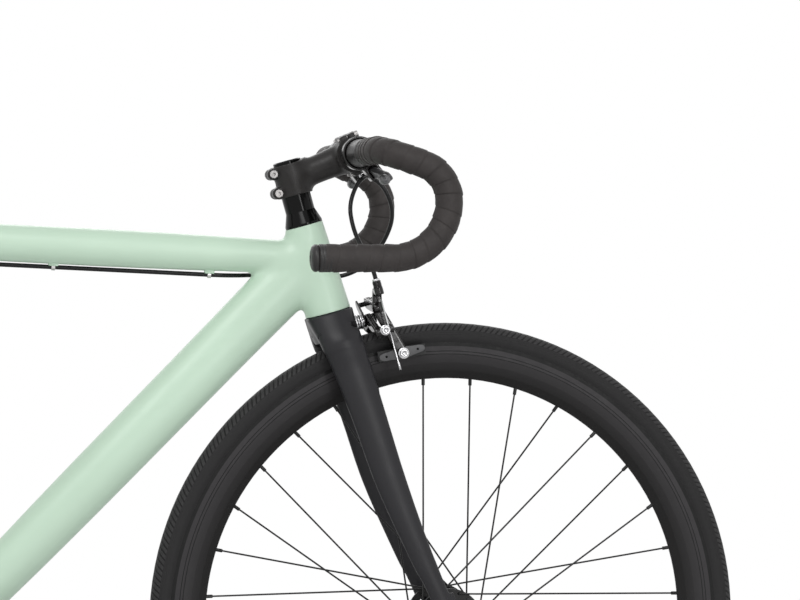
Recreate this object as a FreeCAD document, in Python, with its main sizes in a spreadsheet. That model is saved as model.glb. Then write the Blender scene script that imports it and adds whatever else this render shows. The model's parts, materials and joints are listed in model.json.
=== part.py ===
"""Fixed gear bike with drop bar, two rim brakes and a chain drive. Sizes in millimetres.

Row frame: origin on the ground midway between the axles, +X forward, +Y to the rider's left, +Z up.
"""
import math
import os
from types import SimpleNamespace

import FreeCAD
import Part
import Sketcher
from FreeCAD import Placement, Rotation, Vector

SIZES = {
    # wheels
    "bead_seat_d": 622.0, "tyre_height": 28.0, "tyre_w": 28.0, "tyre_wall": 2.6,
    "rim_depth": 41.3, "rim_w": 23.0, "rim_track": 14.0, "rim_nose_w": 7.0, "rim_well": 8.0,
    "spoke_d": 2.0, "nipple_d": 4.0, "nipple_len": 11.0, "nipple_seat": 4.0,
    "flange_d": 75.0, "flange_t": 3.2, "spoke_circle_d": 66.5, "hub_d": 30.0, "flange_hole_d": 13.0,
    "flange_hole_circle_d": 46.0, "spoke_turn": 5.06,
    "front_flange_gap": 66.0, "front_hub_w": 100.0, "front_axle_d": 9.0,
    "rear_flange_gap": 62.0, "rear_hub_w": 120.0, "rear_axle_d": 10.0,
    "nut_flats": 15.0, "nut_len": 10.0, "washer_t": 2.0, "axle_tip_len": 3.0, "axle_tip_step": 0.6,
    # geometry of the frame
    "front_centre": 600.0, "bb_drop": 45.0, "head_angle": 74.5, "seat_angle": 74.5, "fork_offset": 36.0,
    "fork_len": 375.0, "head_len": 102.0, "head_top_d": 42.8, "head_low_d": 52.4, "tube_wall": 2.2,
    "top_tube_at": 63.3, "top_front_d": 35.5, "top_mid_d": 41.5, "top_rear_d": 33.0, "seat_joint": 505.0,
    "down_tube_at": 66.8, "down_rise": 9.0, "down_head_d": 68.0, "down_head_w": 41.0, "down_mid_d": 60.0,
    "down_mid_w": 54.0, "down_low_d": 43.0,
    "seat_tube_d": 34.0, "seatpost_d": 27.2, "seat_tube_top": 545.0, "seat_slot_w": 3.0,
    "shell_d": 42.0, "shell_w": 68.0, "shell_bore_d": 34.0, "spindle_d": 17.0,
    "stay_front_d": 20.0, "stay_rear_d": 15.0, "seatstay_top_d": 15.0, "seatstay_low_d": 12.5,
    "dropout_t": 7.0, "bridge_d": 16.0, "bridge_at": 356.0,
    # steering
    "steerer_d": 28.6, "steerer_bore_d": 23.4, "upper_bearing_d": 38.0, "lower_bearing_d": 46.0,
    "bearing_h": 8.0, "cover_h": 16.6, "spacer_d": 33.4, "spacer_h": 9.6, "stem_clamp_h": 36.5,
    "stem_clamp_d": 38.0, "stem_len": 74.0, "stem_rise": 9.0, "bar_clamp_d": 31.8, "bar_clamp_w": 42.0,
    "cap_h": 4.0, "crown_h": 34.0, "crown_w": 88.0, "crown_len": 48.0, "arch_gap": 9.0, "arch_w": 46.0,
    "bar_w": 420.0, "bar_d": 23.8, "bar_wall": 2.2, "bulge_half": 62.0, "bar_bend_r": 44.0,
    "ramp_angle": 20.0, "hook_r": 42.0, "drop_r": 62.0, "bar_reach": 72.3, "bar_end_len": 84.0,
    "tape_t": 3.0, "tape_start": 108.0, "tape_pitch": 15.0, "tape_step": 0.7,
    # brakes
    "brake_drop": 21.0, "brake_bolt_d": 6.0, "brake_spacer": 14.0, "arm_t": 7.4, "brake_reach": 44.0,
    "pad_len": 53.0, "pad_h": 8.5, "pad_low": 2.75, "holder_h": 11.6, "pad_t": 8.5, "pad_gap": 2.2, "pad_out": 41.0, "barrel_out": 31.0,
    "barrel_side": 31.0, "barrel_top": 45.0, "side_pivot": 21.0, "housing_d": 5.0, "wire_d": 1.6,
    "lever_at": 52.0, "lever_angle": 51.0, "lever_out": 27.0, "lever_len": 58.0,
    # drive
    "pitch": 12.7, "roller_d": 7.75, "pin_d": 3.6, "plate_t": 1.0, "chain_inner_w": 3.4, "chainline": 42.0,
    "tooth_w": 2.9, "crank_len": 170.0, "crank_out": 73.0, "crank_t": 13.0, "bolt_circle_d": 130.0,
    "spider_t": 4.0, "pedal_len": 92.0, "pedal_depth": 66.0, "pedal_axle_d": 14.0,
    # seat
    "saddle_len": 275.0, "saddle_w": 144.0, "saddle_h": 30.0, "saddle_up": 652.0, "rail_d": 7.0,
    "rail_gap": 44.0, "post_in": 90.0, "saddle_back": 14.0,
    # fits
    "running": 0.05, "free_gap": 0.3,
}
RING_TEETH, COG_TEETH, LINKS = 46, 16, 94
SPOKES = 32
TAPE_WRAPS = 24

doc = FreeCAD.newDocument("fixed_gear_bike")
sheet = doc.addObject("Spreadsheet::Sheet", "Sizes")
for row, (alias, number) in enumerate(SIZES.items(), 1):
    sheet.set("A%d" % row, alias)
    sheet.set("B%d" % row, str(number))
    sheet.setAlias("B%d" % row, alias)
doc.recompute()


class Dim:
    """A length together with the sheet formula that it comes from."""

    def __init__(self, value, text):
        self.value, self.text = float(value), text

    def __float__(self):
        return self.value

    def __add__(self, other):
        other = as_dim(other)
        return Dim(self.value + other.value, "(%s + %s)" % (self.text, other.text))

    def __sub__(self, other):
        other = as_dim(other)
        return Dim(self.value - other.value, "(%s - %s)" % (self.text, other.text))

    def __mul__(self, other):
        other = as_dim(other)
        return Dim(self.value * other.value, "(%s * %s)" % (self.text, other.text))

    def __truediv__(self, other):
        other = as_dim(other)
        return Dim(self.value / other.value, "(%s / %s)" % (self.text, other.text))

    def __radd__(self, other):
        return as_dim(other) + self

    def __rsub__(self, other):
        return as_dim(other) - self

    def __rmul__(self, other):
        return as_dim(other) * self

    def __neg__(self):
        return as_dim(-1) * self


def as_dim(number):
    return number if isinstance(number, Dim) else Dim(number, "(%.6f)" % number)


D = SimpleNamespace(**{name: Dim(sheet.get(name), "Sizes.%s" % name) for name in SIZES})
Y_AXIS, Z_AXIS = Vector(0, 1, 0), Vector(0, 0, 1)
NODES = {}


def vec(x, y, z):
    return Vector(float(x), float(y), float(z))


def unit(v):
    return Vector(v).normalize()


class Frame:
    """A local set of axes; at() gives a row point and place() a placement with local Z on a chosen axis."""

    def __init__(self, origin, ex, ez):
        self.origin, self.ex, self.ez = origin, unit(ex), unit(ez)
        self.ey = self.ez.cross(self.ex)

    def at(self, x, y, z):
        return self.origin + self.ex * float(x) + self.ey * float(y) + self.ez * float(z)

    def place(self, x=0, y=0, z=0, axis="z"):
        ex, ey, ez = {"z": (self.ex, self.ey, self.ez), "y": (self.ex, -self.ez, self.ey),
                      "x": (self.ey, self.ez, self.ex)}[axis]
        return Placement(self.at(x, y, z), Rotation(ex, ey, ez, "ZXY"))

    def moved(self, x, y, z):
        return Frame(self.at(x, y, z), self.ex, self.ez)


def bind(obj, **dims):
    for prop, dim in dims.items():
        obj.setExpression(prop, as_dim(dim).text)


def add(kind, name, placement=None, **dims):
    obj = doc.addObject(kind, name)
    bind(obj, **dims)
    if placement is not None:
        obj.Placement = placement
    return obj


def rod(name, radius, length, placement):
    return add("Part::Cylinder", name, placement, Radius=radius, Height=length)


def cone(name, r0, r1, length, placement):
    return add("Part::Cone", name, placement, Radius1=r0, Radius2=r1, Height=length)


def block(name, dx, dy, dz, frame, x=0, y=0, z=0):
    """A box centred on x and y of a frame, standing on its z."""
    place = frame.place(float(as_dim(x)) - float(as_dim(dx)) / 2, float(as_dim(y)) - float(as_dim(dy)) / 2, z)
    return add("Part::Box", name, place, Length=dx, Width=dy, Height=dz)


def along(start, end):
    return Placement(start, Rotation(Z_AXIS, end - start))


def fuse(name, *parts):
    obj = doc.addObject("Part::MultiFuse", name)
    obj.Shapes = list(parts)
    obj.Refine = True
    return obj


def cut(name, base, *tools):
    obj = doc.addObject("Part::Cut", name)
    obj.Base = base
    obj.Tool = tools[0] if len(tools) == 1 else fuse(name + "_tools", *tools)
    return obj


def group(name, *parts):
    obj = doc.addObject("Part::Compound", name)
    obj.Links = list(parts)
    return obj


def shape(name, solid):
    """A piece that only Part's own functions can make, from values of the sheet."""
    obj = doc.addObject("Part::Feature", name)
    obj.Shape = solid
    return obj


def node(name, obj):
    obj.Label = name
    NODES[name] = obj
    return obj


def sketch(body, role, outline, holes=()):
    """A closed outline of bound points, with round holes, on one of a body's own planes."""
    sk = body.newObject("Sketcher::SketchObject", body.Name + "_sketch")
    plane = [f for f in body.Origin.OriginFeatures if f.Role == role][0]
    sk.AttachmentSupport = [(plane, "")]
    sk.MapMode = "FlatFace"
    points = [(as_dim(a), as_dim(b)) for a, b in outline]
    count = len(points)
    for i, (a, b) in enumerate(points):
        c, d = points[(i + 1) % count]
        sk.addGeometry(Part.LineSegment(vec(a, b, 0), vec(c, d, 0)))
    sk.addConstraint([Sketcher.Constraint("Coincident", i, 2, (i + 1) % count, 1) for i in range(count)])
    for i, (a, b) in enumerate(points):
        pin_point(sk, i, 1, a, b)
    for x, y, radius in holes:
        x, y, radius = as_dim(x), as_dim(y), as_dim(radius)
        i = sk.addGeometry(Part.Circle(vec(x, y, 0), Z_AXIS, float(radius)))
        pin_point(sk, i, 3, x, y)
        at = sk.addConstraint(Sketcher.Constraint("Radius", i, float(radius)))
        sk.setExpression("Constraints[%d]" % at, radius.text)
    return sk


def pin_point(sk, geometry, end, x, y):
    for kind, dim, axis in (("DistanceX", x, -2), ("DistanceY", y, -1)):
        if abs(float(dim)) < 1e-9:
            sk.addConstraint(Sketcher.Constraint("PointOnObject", geometry, end, axis))
            continue
        at = sk.addConstraint(Sketcher.Constraint(kind, -1, 1, geometry, end, float(dim)))
        sk.setExpression("Constraints[%d]" % at, dim.text)


def turned(name, profile, placement):
    """A body turned about its own Z from an outline of (radius, height) points."""
    body = doc.addObject("PartDesign::Body", name)
    body.Placement = placement
    sk = sketch(body, "XZ_Plane", profile)
    rev = body.newObject("PartDesign::Revolution", name + "_turn")
    rev.Profile = sk
    rev.ReferenceAxis = (sk, ["V_Axis"])
    rev.Angle = 360
    return body


def plate(name, outline, thickness, placement, holes=()):
    """A body padded up its own Z from an outline in its XY plane."""
    body = doc.addObject("PartDesign::Body", name)
    body.Placement = placement
    pad = body.newObject("PartDesign::Pad", name + "_pad")
    pad.Profile = sketch(body, "XY_Plane", outline, holes)
    bind(pad, Length=thickness)
    return body


def ring_holes(body, name, circle_d, hole_d, count, start_deg):
    """Pockets right through a turned body, spaced round its axis."""
    sk = body.newObject("Sketcher::SketchObject", name)
    plane_z = [f for f in body.Origin.OriginFeatures if f.Role == "XY_Plane"][0]
    sk.AttachmentSupport = [(plane_z, "")]
    sk.MapMode = "FlatFace"
    a = math.radians(start_deg)
    r = float(circle_d) / 2
    sk.addGeometry(Part.Circle(Vector(r * math.cos(a), r * math.sin(a), 0), Z_AXIS, float(hole_d) / 2))
    at = sk.addConstraint(Sketcher.Constraint("Radius", 0, float(hole_d) / 2))
    sk.setExpression("Constraints[%d]" % at, (hole_d / 2).text)
    pin_point(sk, 0, 3, circle_d * (math.cos(a) / 2), circle_d * (math.sin(a) / 2))
    pocket = body.newObject("PartDesign::Pocket", name + "_pocket")
    pocket.Profile = sk
    pocket.Type = "ThroughAll"
    pocket.Midplane = True
    pattern = body.newObject("PartDesign::PolarPattern", name + "_ring")
    pattern.Originals = [pocket]
    pattern.Axis = (sk, ["N_Axis"])
    pattern.Angle = 360
    pattern.Occurrences = count
    body.Tip = pattern
    return body


def hex_nut(name, flats, length, bore, placement):
    corner = flats * (0.5 / math.cos(math.pi / 6))
    outline = [(corner * math.cos(math.pi / 3 * k), corner * math.sin(math.pi / 3 * k)) for k in range(6)]
    return plate(name, outline, length, placement, [(0, 0, bore)])


def washer(name, outer, bore, t, placement):
    return turned(name, [(bore, 0), (outer, 0), (outer, t), (bore, t)], placement)


def rounded_path(points, radii):
    """A wire of straight runs joined by tangent arcs; radii holds one radius for each inner point."""
    edges, last = [], points[0]
    for before, corner, after, radius in zip(points, points[1:], points[2:], radii):
        u, w = unit(before - corner), unit(after - corner)
        half = u.getAngle(w) / 2
        reach = radius / math.tan(half)
        start, end = corner + u * reach, corner + w * reach
        middle = corner + unit(u + w) * (radius / math.sin(half) - radius)
        if (start - last).Length > 1e-6:
            edges.append(Part.makeLine(last, start))
        edges.append(Part.Arc(start, middle, end).toShape())
        last = end
    edges.append(Part.makeLine(last, points[-1]))
    return Part.Wire(edges)


def pipe(path, radius):
    """A round bar along the runs and arcs of a wire."""
    pieces = []
    for edge in path.Edges:
        start = edge.valueAt(edge.FirstParameter)
        ring = Part.makeCircle(float(radius), start, edge.tangentAt(edge.FirstParameter))
        disc = Part.Face(Part.Wire(ring))
        if edge.Curve.TypeId == "Part::GeomLine":
            pieces.append(disc.extrude(edge.valueAt(edge.LastParameter) - start))
        else:
            turn = math.degrees(edge.LastParameter - edge.FirstParameter)
            pieces.append(disc.revolve(edge.Curve.Center, edge.Curve.Axis, turn))
    return pieces[0].multiFuse(pieces[1:]).removeSplitter()


def link_face(p, rp, q, rq, normal):
    """The face between two circles and their outer tangents."""
    line = q - p
    lift = math.acos((float(rp) - float(rq)) / line.Length)
    axis, side = unit(line), unit(normal.cross(line))
    edges, ends = [], []
    for centre, radius, back in ((p, float(rp), -1), (q, float(rq), 1)):
        up = axis * math.cos(lift) + side * math.sin(lift)
        down = axis * math.cos(lift) - side * math.sin(lift)
        ends.append((centre + up * radius, centre + axis * (back * radius), centre + down * radius))
    (a, b, c), (d, e, f) = ends
    edges = [Part.Arc(a, b, c).toShape(), Part.makeLine(c, f), Part.Arc(f, e, d).toShape(), Part.makeLine(d, a)]
    return Part.Face(Part.Wire(edges))


def link(p, rp, q, rq, normal, thickness):
    return link_face(p, rp, q, rq, normal).extrude(unit(normal) * float(thickness))


def loft(name, sections):
    obj = doc.addObject("Part::Loft", name)
    obj.Sections = sections
    obj.Solid = True
    obj.Ruled = False
    return obj


def circle(name, radius, point, direction):
    return add("Part::Circle", name, along(point, point + direction), Radius=radius)


def ellipse(name, major, minor, frame):
    return add("Part::Ellipse", name, frame.place(), MajorRadius=major, MinorRadius=minor)


# Places of the axles, the bottom bracket and the steering axis.
tyre_r = D.bead_seat_d / 2 + D.tyre_height
ring_r = float(D.pitch) / 2 / math.sin(math.pi / RING_TEETH)
cog_r = float(D.pitch) / 2 / math.sin(math.pi / COG_TEETH)


# The wheel sits where the chain is just taut: whole pitches between the last seated rollers.
rough = (LINKS - (RING_TEETH + COG_TEETH) / 2) / 2 * float(D.pitch)
wrap_more = math.asin((ring_r - cog_r) / rough)
ring_step, cog_step = 2 * math.pi / RING_TEETH, 2 * math.pi / COG_TEETH
engaged_ring = math.floor((math.pi / 2 + wrap_more) / ring_step + 0.5)
engaged_cog = math.floor((math.pi / 2 - wrap_more) / cog_step + 0.5)
span_pitches = LINKS // 2 - engaged_ring - engaged_cog + 1
ring_last, cog_last = (engaged_ring - 0.5) * ring_step, (engaged_cog - 0.5) * cog_step
rise = ring_r * math.sin(ring_last) - cog_r * math.sin(cog_last)
centre_distance = (math.sqrt((span_pitches * float(D.pitch)) ** 2 - rise ** 2)
                   - cog_r * math.cos(cog_last) - ring_r * math.cos(ring_last))
stay_run = math.sqrt(centre_distance ** 2 - float(D.bb_drop) ** 2)
wheelbase = float(D.front_centre) + stay_run
front_axle_at = vec(wheelbase / 2, 0, tyre_r)
rear_axle_at = vec(-wheelbase / 2, 0, tyre_r)
bb_at = front_axle_at - vec(D.front_centre, 0, D.bb_drop)

tilt = math.radians(float(D.head_angle))
steer_up, steer_fwd = Vector(-math.cos(tilt), 0, math.sin(tilt)), Vector(math.sin(tilt), 0, math.cos(tilt))
crown_at = front_axle_at - steer_fwd * float(D.fork_offset) + steer_up * float(D.fork_len)
steer = Frame(crown_at, steer_fwd, steer_up)
lean = math.radians(float(D.seat_angle))
seat_up = Vector(-math.cos(lean), 0, math.sin(lean))
seat = Frame(bb_at, Vector(math.sin(lean), 0, math.cos(lean)), seat_up)
front_wheel = Frame(front_axle_at, Vector(1, 0, 0), Z_AXIS)
rear_wheel = Frame(rear_axle_at, Vector(1, 0, 0), Z_AXIS)
crank = Frame(bb_at, Vector(1, 0, 0), Z_AXIS)

# Frame tubes, each mitred to the ones that it is welded to.
head_r0, head_r1 = D.head_low_d / 2, D.head_top_d / 2
head_skin = cone("head_skin", head_r0, head_r1, D.head_len, steer.place())
low_seat, high_seat = D.bearing_h + 3, D.head_len - D.bearing_h
core_r = D.steerer_d / 2 + 2.4
head_tube = node("head_tube", turned("head_tube", [
    (D.lower_bearing_d / 2, 0), (head_r0, 0), (head_r1, D.head_len), (D.upper_bearing_d / 2, D.head_len),
    (D.upper_bearing_d / 2, high_seat), (core_r, high_seat - 1), (core_r, low_seat + 4),
    (D.lower_bearing_d / 2, low_seat)], steer.place()))
node("headset_bearings", group("headset_bearings", *[
    turned(name, [(D.steerer_d / 2 + D.running, z), (r - 0.02, z), (r - 0.02, z + h),
                  (D.steerer_d / 2 + D.running, z + h)], steer.place())
    for name, r, z, h in (("lower_bearing", D.lower_bearing_d / 2, D.free_gap, low_seat - 0.5),
                          ("upper_bearing", D.upper_bearing_d / 2, high_seat + 0.1, D.bearing_h - 0.4))]))

shell_r = D.shell_d / 2
shell_skin = rod("shell_skin", shell_r, D.shell_w, crank.place(0, -D.shell_w / 2, 0, "y"))
node("bottom_bracket_shell", turned("bottom_bracket_shell", [
    (D.shell_bore_d / 2, 0), (shell_r, 0), (shell_r, D.shell_w), (D.shell_bore_d / 2, D.shell_w)],
    crank.place(0, -D.shell_w / 2, 0, "y")))
seat_skin = rod("seat_skin", D.seat_tube_d / 2, D.seat_tube_top, seat.place())
post_bore_r = D.seatpost_d / 2 + D.running
seat_slot = block("seat_slot", D.seat_tube_d, D.seat_slot_w, 26, seat, -D.seat_tube_d / 2, 0, D.seat_tube_top - 25)
node("seat_tube", cut("seat_tube", seat_skin, shell_skin, seat_slot,
                      rod("seat_bore", post_bore_r, D.seat_tube_top + 2, seat.place(0, 0, -1))))

down_top, down_low = steer.at(0, 0, D.down_tube_at), bb_at + vec(0, 0, D.down_rise)
down_dir = unit(down_low - down_top)
top_front, top_rear = steer.at(0, 0, D.top_tube_at), seat.at(0, 0, D.seat_joint)
top_dir = unit(top_rear - top_front)


def tube_frame(start, direction, distance):
    """Axes across a tube: X down its depth, Z along it."""
    return Frame(start + direction * float(distance), direction.cross(Y_AXIS), direction)


down_len, top_len = (down_low - down_top).Length, (top_rear - top_front).Length


def down_loft(name, wall):
    sizes = ((D.down_head_d, D.down_head_w, 0.0), (D.down_mid_d + 2, D.down_mid_w - 4, 0.33),
             (D.down_mid_d - 2.5, D.down_mid_w, 0.72), (D.down_low_d + 0.02, D.down_low_d, 1.0))
    return loft(name, [ellipse("%s_%d" % (name, i), d / 2 - wall, w / 2 - wall,
                               tube_frame(down_top, down_dir, part * down_len))
                       for i, (d, w, part) in enumerate(sizes)])


def top_loft(name, wall):
    return loft(name, [circle("%s_%d" % (name, i), d / 2 - wall, top_front + top_dir * (part * top_len), top_dir)
                       for i, (d, part) in enumerate(((D.top_front_d, 0.0), (D.top_mid_d, 0.6),
                                                      (D.top_rear_d, 1.0)))])


down_skin, top_skin = down_loft("down_skin", 0), top_loft("top_skin", 0)
node("down_tube", cut("down_tube", down_skin, down_loft("down_core", D.tube_wall), head_skin, shell_skin, seat_skin))

# Cable bosses under the top tube; each has a groove for the housing and a sprung clip below it.
housing_r = D.housing_d / 2
clip_parts, clip_points = [], []
boss_parts, groove_parts = [], []
for number, run in enumerate((118.0, 294.0, 470.0)):
    spread = run / top_len
    depth = (float(D.top_front_d) * (1 - spread / 0.6) + float(D.top_mid_d) * spread / 0.6 if spread < 0.6 else
             float(D.top_mid_d) * (1 - (spread - 0.6) / 0.4) + float(D.top_rear_d) * (spread - 0.6) / 0.4) / 2
    boss = tube_frame(top_front, top_dir, run)
    down_way = -boss.ex if boss.ex.z > 0 else boss.ex
    boss = Frame(boss.origin, top_dir, down_way)
    drop = float(D.top_mid_d) / 2 + 3.7
    boss_parts.append(block("boss_%d" % number, 11, 9, drop - depth + 1.1, boss, 0, 0, depth - 2.5))
    clip_points.append(boss.at(0, 0, drop))
    groove_parts.append(rod("groove_%d" % number, housing_r + D.running, 14, boss.place(-7, 0, drop, "x")))
    hoop = rod("hoop_%d" % number, housing_r + 1.3, 4, boss.place(-2, 0, drop, "x"))
    hole = rod("hoop_hole_%d" % number, housing_r + D.running, 6, boss.place(-3, 0, drop, "x"))
    lid = block("hoop_lid_%d" % number, 6, 12, 6, boss, 0, 0, drop - 7.3)
    clip_parts.append(cut("clip_%d" % number, hoop, hole, lid))
top_core = top_loft("top_core", D.tube_wall)
top_shell = fuse("top_shell", top_skin, *boss_parts)
node("top_tube", cut("top_tube", top_shell, top_core, head_skin, down_skin, seat_skin, *groove_parts))
node("cable_clips", group("cable_clips", *clip_parts))

# Rear triangle.
drop_in = D.rear_hub_w / 2
dropout_y = drop_in + D.dropout_t / 2
slot_half = D.rear_axle_d / 2 + 0.1
stay_end = 38.0
dropout_outline = [(stay_end, -10), (stay_end, 10), (22, 14), (17, 33), (4, 35), (-3, 16), (-24, 12), (-24, slot_half),
                   (24, slot_half), (24, -slot_half), (-24, -slot_half), (-24, -12), (20, -14)]
stay_lean = math.atan2(float(bb_at.z - rear_axle_at.z), stay_run)
stay_line = Vector(math.cos(stay_lean), 0, math.sin(stay_lean))
dropouts, chainstay_solids, seatstay_solids = [], [], []
stay_way = unit(top_rear + seat_up * 2 - rear_axle_at)
for side, word in ((-1, "right"), (1, "left")):
    flat = Frame(rear_axle_at + vec(0, float(dropout_y) * side, 0), stay_line, Y_AXIS)
    flat.ey = flat.ez.cross(flat.ex)
    outline = [(x, -as_dim(z)) for x, z in dropout_outline]
    dropouts.append(plate("%s_dropout" % word, outline, D.dropout_t,
                          Placement(flat.at(0, 0, -D.dropout_t / 2), Rotation(flat.ex, flat.ey, flat.ez, "ZXY"))))
    rear_end = rear_axle_at + stay_line * (stay_end - 3) + vec(0, float(dropout_y) * side, 0)
    front_end = bb_at + vec(-8, 19.5 * side, 3)
    chainstay_solids.append(cut("%s_chainstay" % word, cone(
        "%s_chainstay_skin" % word, D.stay_front_d / 2, D.stay_rear_d / 2, (rear_end - front_end).Length,
        along(front_end, rear_end)), shell_skin, seat_skin, dropouts[-1]))
    low_end = rear_axle_at + stay_line * 10.5 + vec(0, float(dropout_y) * side, 0) + \
        stay_line.cross(Y_AXIS) * (34.6 if stay_line.cross(Y_AXIS).z > 0 else -34.6)
    high_end = seat.at(-6, 11 * side, D.seat_joint + 6)
    seatstay_solids.append(cut("%s_seatstay" % word, cone(
        "%s_seatstay_skin" % word, D.seatstay_low_d / 2, D.seatstay_top_d / 2, (high_end - low_end).Length,
        along(low_end, high_end)), seat_skin, dropouts[-1]))
node("chainstays", group("chainstays", *chainstay_solids, *dropouts))
stay_low = (rear_axle_at + stay_line * 10.5 + stay_line.cross(Y_AXIS) * 34.6
            if stay_line.cross(Y_AXIS).z > 0 else rear_axle_at + stay_line * 10.5 - stay_line.cross(Y_AXIS) * 34.6)
stay_high = seat.at(-6, 0, D.seat_joint + 6)
bridge_way = unit(stay_high - stay_low)
bridge_at = stay_low + bridge_way * (math.sqrt(float(D.bridge_at) ** 2 - 0) - 34.6)
bridge = Frame(bridge_at, bridge_way.cross(Y_AXIS) * (-1 if bridge_way.cross(Y_AXIS).x > 0 else 1), bridge_way)
bolt_bore_r = D.brake_bolt_d / 2 + D.running
bridge_solid = cut("brake_bridge", rod("bridge_skin", D.bridge_d / 2, 90, bridge.place(0, -45, 0, "y")),
                   *[doc.getObject("%s_seatstay_skin" % word) for word in ("right", "left")],
                   rod("bridge_bore", bolt_bore_r, 40, bridge.place(-20, 0, 0, "x")))
node("seatstays", group("seatstays", *seatstay_solids, bridge_solid))

collar_r = D.seat_tube_d / 2 + D.running
collar = fuse("collar_skin", rod("collar_ring", collar_r + 3.5, 14, seat.place(0, 0, D.seat_tube_top - 14)),
              block("collar_ears", 12, 18, 14, seat, -collar_r - 7, 0, D.seat_tube_top - 14))
collar_bolt_x = -float(collar_r) - 8.4
collar = cut("collar", collar, rod("collar_bore", collar_r, 18, seat.place(0, 0, D.seat_tube_top - 16)),
             block("collar_slot", 20, D.seat_slot_w, 18, seat, -collar_r - 8, 0, D.seat_tube_top - 16),
             rod("collar_hole", 2.6, 30, seat.place(collar_bolt_x, -15, D.seat_tube_top - 7, "y")))
collar_bolt = fuse("collar_bolt", rod("collar_shank", 2.5, 20, seat.place(collar_bolt_x, -9.5, D.seat_tube_top - 7, "y")),
                   rod("collar_head", 4.2, 4.5, seat.place(collar_bolt_x, -13.6, D.seat_tube_top - 7, "y")))
node("seat_clamp", group("seat_clamp", collar, collar_bolt))

cup_r, half_shell = D.shell_bore_d / 2 - 0.02, D.shell_w / 2
spindle_r = D.spindle_d / 2
node("bottom_bracket", turned("bottom_bracket", [
    (spindle_r + D.running, -half_shell - 2), (shell_r - 1, -half_shell - 2), (shell_r - 1, -half_shell - 0.02),
    (cup_r, -half_shell - 0.02), (cup_r, half_shell + 0.02), (shell_r - 1, half_shell + 0.02),
    (shell_r - 1, half_shell + 2), (spindle_r + D.running, half_shell + 2)], crank.place(0, 0, 0, "y")))


def axle_set(name, wheel, axle_d, inner, thick, lock_w):
    """An axle with its lock nuts, and the washers and nuts that hold it in the ends."""
    r = axle_d / 2
    outer = inner + thick
    tip_r = r - D.axle_tip_step
    shoulder = outer + D.washer_t + D.nut_len + D.free_gap
    end = shoulder + D.axle_tip_len
    shaft = turned(name + "_shaft", [
        (0, -end), (tip_r, -end), (tip_r, -shoulder), (r, -shoulder), (r, -inner), (r + 4, -inner),
        (r + 4, -inner + lock_w), (r, -inner + lock_w), (r, inner - lock_w), (r + 4, inner - lock_w), (r + 4, inner),
        (r, inner), (r, shoulder), (tip_r, shoulder), (tip_r, end), (0, end)], wheel.place(0, 0, 0, "y"))
    parts = [shaft]
    for side, word in ((-1, "right"), (1, "left")):
        near_y = outer if side > 0 else -outer - D.washer_t
        parts.append(washer("%s_%s_washer" % (name, word), r + 6, r + D.running, D.washer_t,
                            wheel.place(0, near_y, 0, "y")))
        nut_y = outer + D.washer_t if side > 0 else -outer - D.washer_t - D.nut_len
        parts.append(hex_nut("%s_%s_nut" % (name, word), D.nut_flats, D.nut_len, r + D.running,
                             wheel.place(0, nut_y, 0, "y")))
    return group(name, *parts)


lock_w = D.washer_t * 3
tip_t = D.dropout_t - 1
node("rear_axle", axle_set("rear_axle", rear_wheel, D.rear_axle_d, drop_in, D.dropout_t, lock_w))
node("front_axle", axle_set("front_axle", front_wheel, D.front_axle_d, D.front_hub_w / 2, tip_t, lock_w))

# Fork: crown and blades in one moulding on a hollow steerer.
crown_low = -float(D.crown_h)


def crown_section(name, length, width, t):
    frame = Frame(steer.at(0, 0, t), Y_AXIS, steer_up)
    return ellipse(name, width / 2, length / 2, frame)


crown_solid = loft("crown_solid", [
    crown_section("crown_0", D.head_low_d, D.head_low_d + 0.02, -D.free_gap),
    crown_section("crown_1", D.head_low_d - 1, D.head_low_d + 12, D.crown_h * -0.45),
    crown_section("crown_2", D.crown_len, D.crown_w, -D.crown_h)])
blade_stations = ((-26.0, 1.0, 31.5, 47.0, 25.0), (-70.0, 4.5, 35.5, 43.0, 22.0), (-120.0, 7.5, 40.0, 39.0, 19.0),
                  (-200.0, 11.0, 46.5, 35.0, 16.5), (-290.0, 21.0, 52.0, 26.5, 14.0), (-352.0, 30.5, 54.5, 23.0, 11.5))
stretch = float(D.fork_len) / 375.0
spread_tip = float(D.front_hub_w) / 2 - 50.0
blades = []
for side, word in ((-1, "right"), (1, "left")):
    rings = []
    for i, (t, f, y, depth, width) in enumerate(blade_stations):
        share = -t / 375.0
        frame = Frame(steer.at(f + (float(D.fork_offset) - 36.0) * share, (y + spread_tip * share) * side, t * stretch),
                      steer_fwd, steer_up)
        rings.append(ellipse("%s_blade_%d" % (word, i), depth / 2, width / 2, frame))
    blades.append(loft("%s_blade" % word, rings))
    tip_frame = Frame(front_axle_at + vec(0, float(D.front_hub_w / 2) * side, 0), steer_fwd, Y_AXIS)
    slot_r = D.front_axle_d / 2 + 0.1
    tip_out = [(-10.5, -34), (9.5, -34), (12, -8), (12, 6), (slot_r, 11), (slot_r, slot_r * -0.414), (slot_r * 0.414, -slot_r),
               (slot_r * -0.414, -slot_r), (-slot_r, slot_r * -0.414), (-slot_r, 11), (-12, 6), (-12, -8)]
    spot = front_axle_at + vec(0, float(D.front_hub_w / 2) * side, 0)
    if side < 0:
        spot = spot - vec(0, float(tip_t), 0)
    blades.append(plate("%s_tip" % word, tip_out, tip_t,
                        Placement(spot, Rotation(steer_fwd, -steer_up, Y_AXIS, "ZXY"))))
steerer_top = D.head_len + D.cover_h + D.spacer_h * 2 + D.stem_clamp_h - 2
steerer = rod("steerer", D.steerer_d / 2, steerer_top + 20, steer.place(0, 0, -20))
arch = rod("wheel_arch", tyre_r + D.arch_gap, D.arch_w, front_wheel.place(0, -D.arch_w / 2, 0, "y"))
fork_whole = fuse("fork_whole", cut("arched_crown", crown_solid, arch), *blades, steerer)
brake_bore = rod("crown_bore", bolt_bore_r, 80, steer.place(-40, 0, -D.brake_drop, "x"))
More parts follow.
